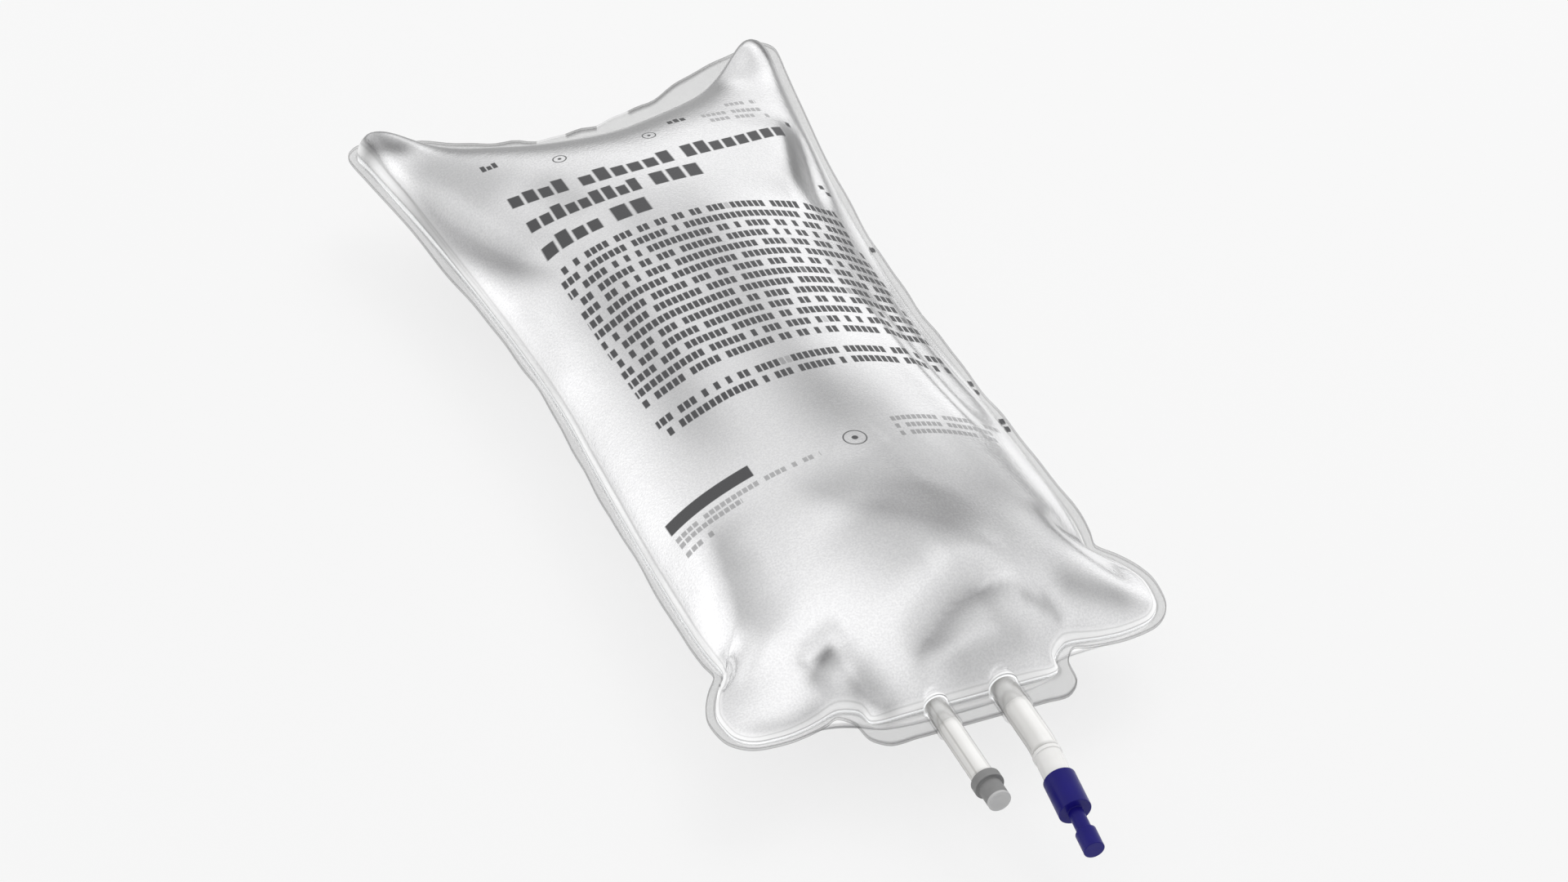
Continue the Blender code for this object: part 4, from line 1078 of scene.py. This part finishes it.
def makeTubeFinish():
    look = tubeLook
    finish, cloud = cloudFinish("clear tube", Coat_Weight=look["coat"])
    facing = finish.node("ShaderNodeLayerWeight", None, {"Blend": 0.5}, 1)
    outletSide = over(finish.x, look["betweenTubes"], ink["sharp"])
    across = finish.x - (outletSide * ((outlet["x"] - injection["x"]) / mm) + injection["x"] / mm)
    # painted shade: dark rims and wall lines where the tube turns away, a thin dark line on the injection
    # tube, and darker left and right sides
    paintedTubeShade = over(facing, look["rimFrom"], look["rimSoft"]) * look["rimDepth"]
    paintedTubeShade = paintedTubeShade + between(facing, *look["wall"], look["wallSoft"]) * look["wallDepth"]
    injectionSide = under(finish.x, look["betweenTubes"], ink["sharp"])
    paintedTubeShade = paintedTubeShade + between(across, *look["thin"], look["thinSoft"]) * injectionSide * look["thinDepth"]
    paintedTubeShade = paintedTubeShade + under(across, look["leftFrom"], look["leftSoft"]) * look["leftDepth"]
    paintedTubeShade = paintedTubeShade + over(across, look["rightFrom"], look["rightSoft"]) * look["rightDepth"]
    finish.feed("Base Color", finish.mix(paintedTubeShade, cloud, look["line"]))
    return finish


def makeInnerFinish():
    finish, cloud = cloudFinish("inner tube", Coat_Weight=tubeLook["coat"])
    finish.feed("Base Color", cloud)
    return finish


def makeRubberFinish():
    # the end face is lighter than the rest
    finish, cloud = cloudFinish("grey rubber")
    atEnd = under(finish.y, rubberLook["endY"], rubberLook["endSoft"])
    finish.feed("Base Color", finish.mix(atEnd, cloud, rubberLook["end"]))
    finish.grain(finish.noise(finish.at, rubberLook["fineGrain"]), rubberLook["grain"], smoothGrain)
    return finish


def makePlasticFinish():
    finish, cloud = cloudFinish("blue plastic", Specular_IOR_Level=plasticLook["specular"])
    finish.feed("Base Color", cloud)
    finish.grain(finish.noise(finish.at, plasticLook["fineGrain"]), plasticLook["grain"], smoothGrain)
    return finish


makeFilmFinish("printed film", True, filmLook["paintedFrontRimLight"]).onto(frontFilm)
makeFilmFinish("clear film", False, filmLook["paintedBackRimLight"]).onto(backFilm)
makeFluidFinish().onto(fluid)
makeTubeFinish().onto(injectionTube, outletTube)
makeInnerFinish().onto(membraneTube)
makeRubberFinish().onto(stopper)
makePlasticFinish().onto(portClosure)
print("finishes made")

# Floor, lights, world and camera
stageSet = {
    "floorSize": 6.0, "floorColour": 0.93, "floorRoughness": 0.8, "keySize": 1.2, "keyPower": 14.0,
    "keyAt": (0.9, 0.9, 1.5), "base": 0.72, "darkest": 0.05, "shadowShare": 0.16, "backdrop": 0.915,
    "farColour": 0.25, "farFrom": 330.0, "farSoft": 160.0, "farSlope": 0.25, "floorDrop": 0.0005,
}
# Soft lights and dark cards round the set: azimuth from +y towards +x, elevation, spread in degrees, strength
softCards = [
    (48, 16, 16, 0.40), (-52, 18, 20, 0.52), (21, 20, 10, 0.28), (14, 0, 13, -0.46), (54, 44, 13, -0.10),
    (0, 90, 36, 0.30), (-70, 60, 20, 0.18),
]


def areaLamp(name, at, size, power):
    lamp = bpy.data.lights.new(name, "AREA")
    lamp.size = size
    lamp.energy = power
    ob = bpy.data.objects.new(name, lamp)
    bpy.context.scene.collection.objects.link(ob)
    ob.location = at
    ob.rotation_euler = (Vector((0, 0, 0)) - Vector(at)).to_track_quat("-Z", "Y").to_euler()
    ob.visible_glossy = False


def makeWorld():
    world = bpy.data.worlds.new("studio")
    bpy.context.scene.world = world
    world.use_nodes = True
    sky = Nodes(world.node_tree)
    ray = sky.node("ShaderNodeTexCoord", out="Generated")
    total = stageSet["base"]
    for azimuth, elevation, spread, strength in softCards:
        a, e = math.radians(azimuth), math.radians(elevation)
        toward = (math.sin(a) * math.cos(e), math.cos(a) * math.cos(e), math.sin(e))
        near = sky.node("ShaderNodeVectorMath", {"operation": "DOT_PRODUCT"}, {0: ray, 1: toward}, "Value")
        sharp = 1.0 / (1.0 - math.cos(math.radians(spread)))
        total = total + ((near - 1.0) * sharp).math("EXPONENT") * strength
    total = total.math("MAXIMUM", stageSet["darkest"])
    background = sky.tree.nodes["Background"]
    sky.tree.links.new(total.link, background.inputs["Strength"])
    background.inputs["Color"].default_value = (1, 1, 1, 1)


def makeStage():
    clearSelection()
    bpy.ops.mesh.primitive_plane_add(size=stageSet["floorSize"], location=(0, 0, -stageSet["floorDrop"]))
    floor = bpy.context.object
    floor.name = "floor"
    pale = (stageSet["floorColour"],) * 3
    finish = Finish("pale floor", pale, stageSet["floorRoughness"])
    finish.place()
    glossy, camera = finish.node("ShaderNodeLightPath", out=("Is Glossy Ray", "Is Camera Ray"))
    beyond = over(finish.y + finish.x * stageSet["farSlope"], stageSet["farFrom"], stageSet["farSoft"])
    beyond = beyond * glossy                     # the films see a darker floor past the hanger end
    finish.feed("Base Color", finish.mix(beyond, pale, (stageSet["farColour"],) * 3))
    unshaded = camera * (1.0 - stageSet["shadowShare"])
    plain = finish.node("ShaderNodeEmission", None, {"Color": (stageSet["backdrop"],) * 3 + (1.0,)})
    shader = finish.node("ShaderNodeMixShader", None, {
        0: unshaded, 1: Socket(finish.tree, finish.shader.outputs[0]), 2: plain})
    finish.tree.links.new(shader.link, finish.tree.nodes["Material Output"].inputs["Surface"])
    finish.onto(floor)
    areaLamp("key", stageSet["keyAt"], stageSet["keySize"], stageSet["keyPower"])
    makeWorld()


view = {"azimuth": -23.276, "elevation": 38.667, "roll": 0.374, "lens": 163.44, "sensor": 36.0,
        "distance": 1.959, "farthest": 20.0, "target": (-0.001768, 0.11672 + footY, seamZ)}


def makeCamera():
    a, e, r = (math.radians(view[k]) for k in ("azimuth", "elevation", "roll"))
    back = Vector((math.sin(a) * math.cos(e), -math.cos(a) * math.cos(e), math.sin(e)))
    right = Vector((math.cos(a), math.sin(a), 0.0))
    up = back.cross(right)
    x = math.cos(r) * right + math.sin(r) * up
    y = -math.sin(r) * right + math.cos(r) * up
    lens = bpy.data.cameras.new("camera")
    lens.lens = view["lens"]
    lens.sensor_width = view["sensor"]
    lens.clip_end = view["farthest"]
    ob = bpy.data.objects.new("camera", lens)
    bpy.context.scene.collection.objects.link(ob)
    turn = np.array([x, y, back]).T
    ob.rotation_mode = "QUATERNION"
    ob.rotation_quaternion = Matrix(turn.tolist()).to_quaternion()
    ob.location = Vector(view["target"]) + back * view["distance"]
    bpy.context.scene.camera = ob


makeStage()
makeCamera()
bpy.context.scene.view_settings.view_transform = "Standard"
print("floor, lights and camera set")
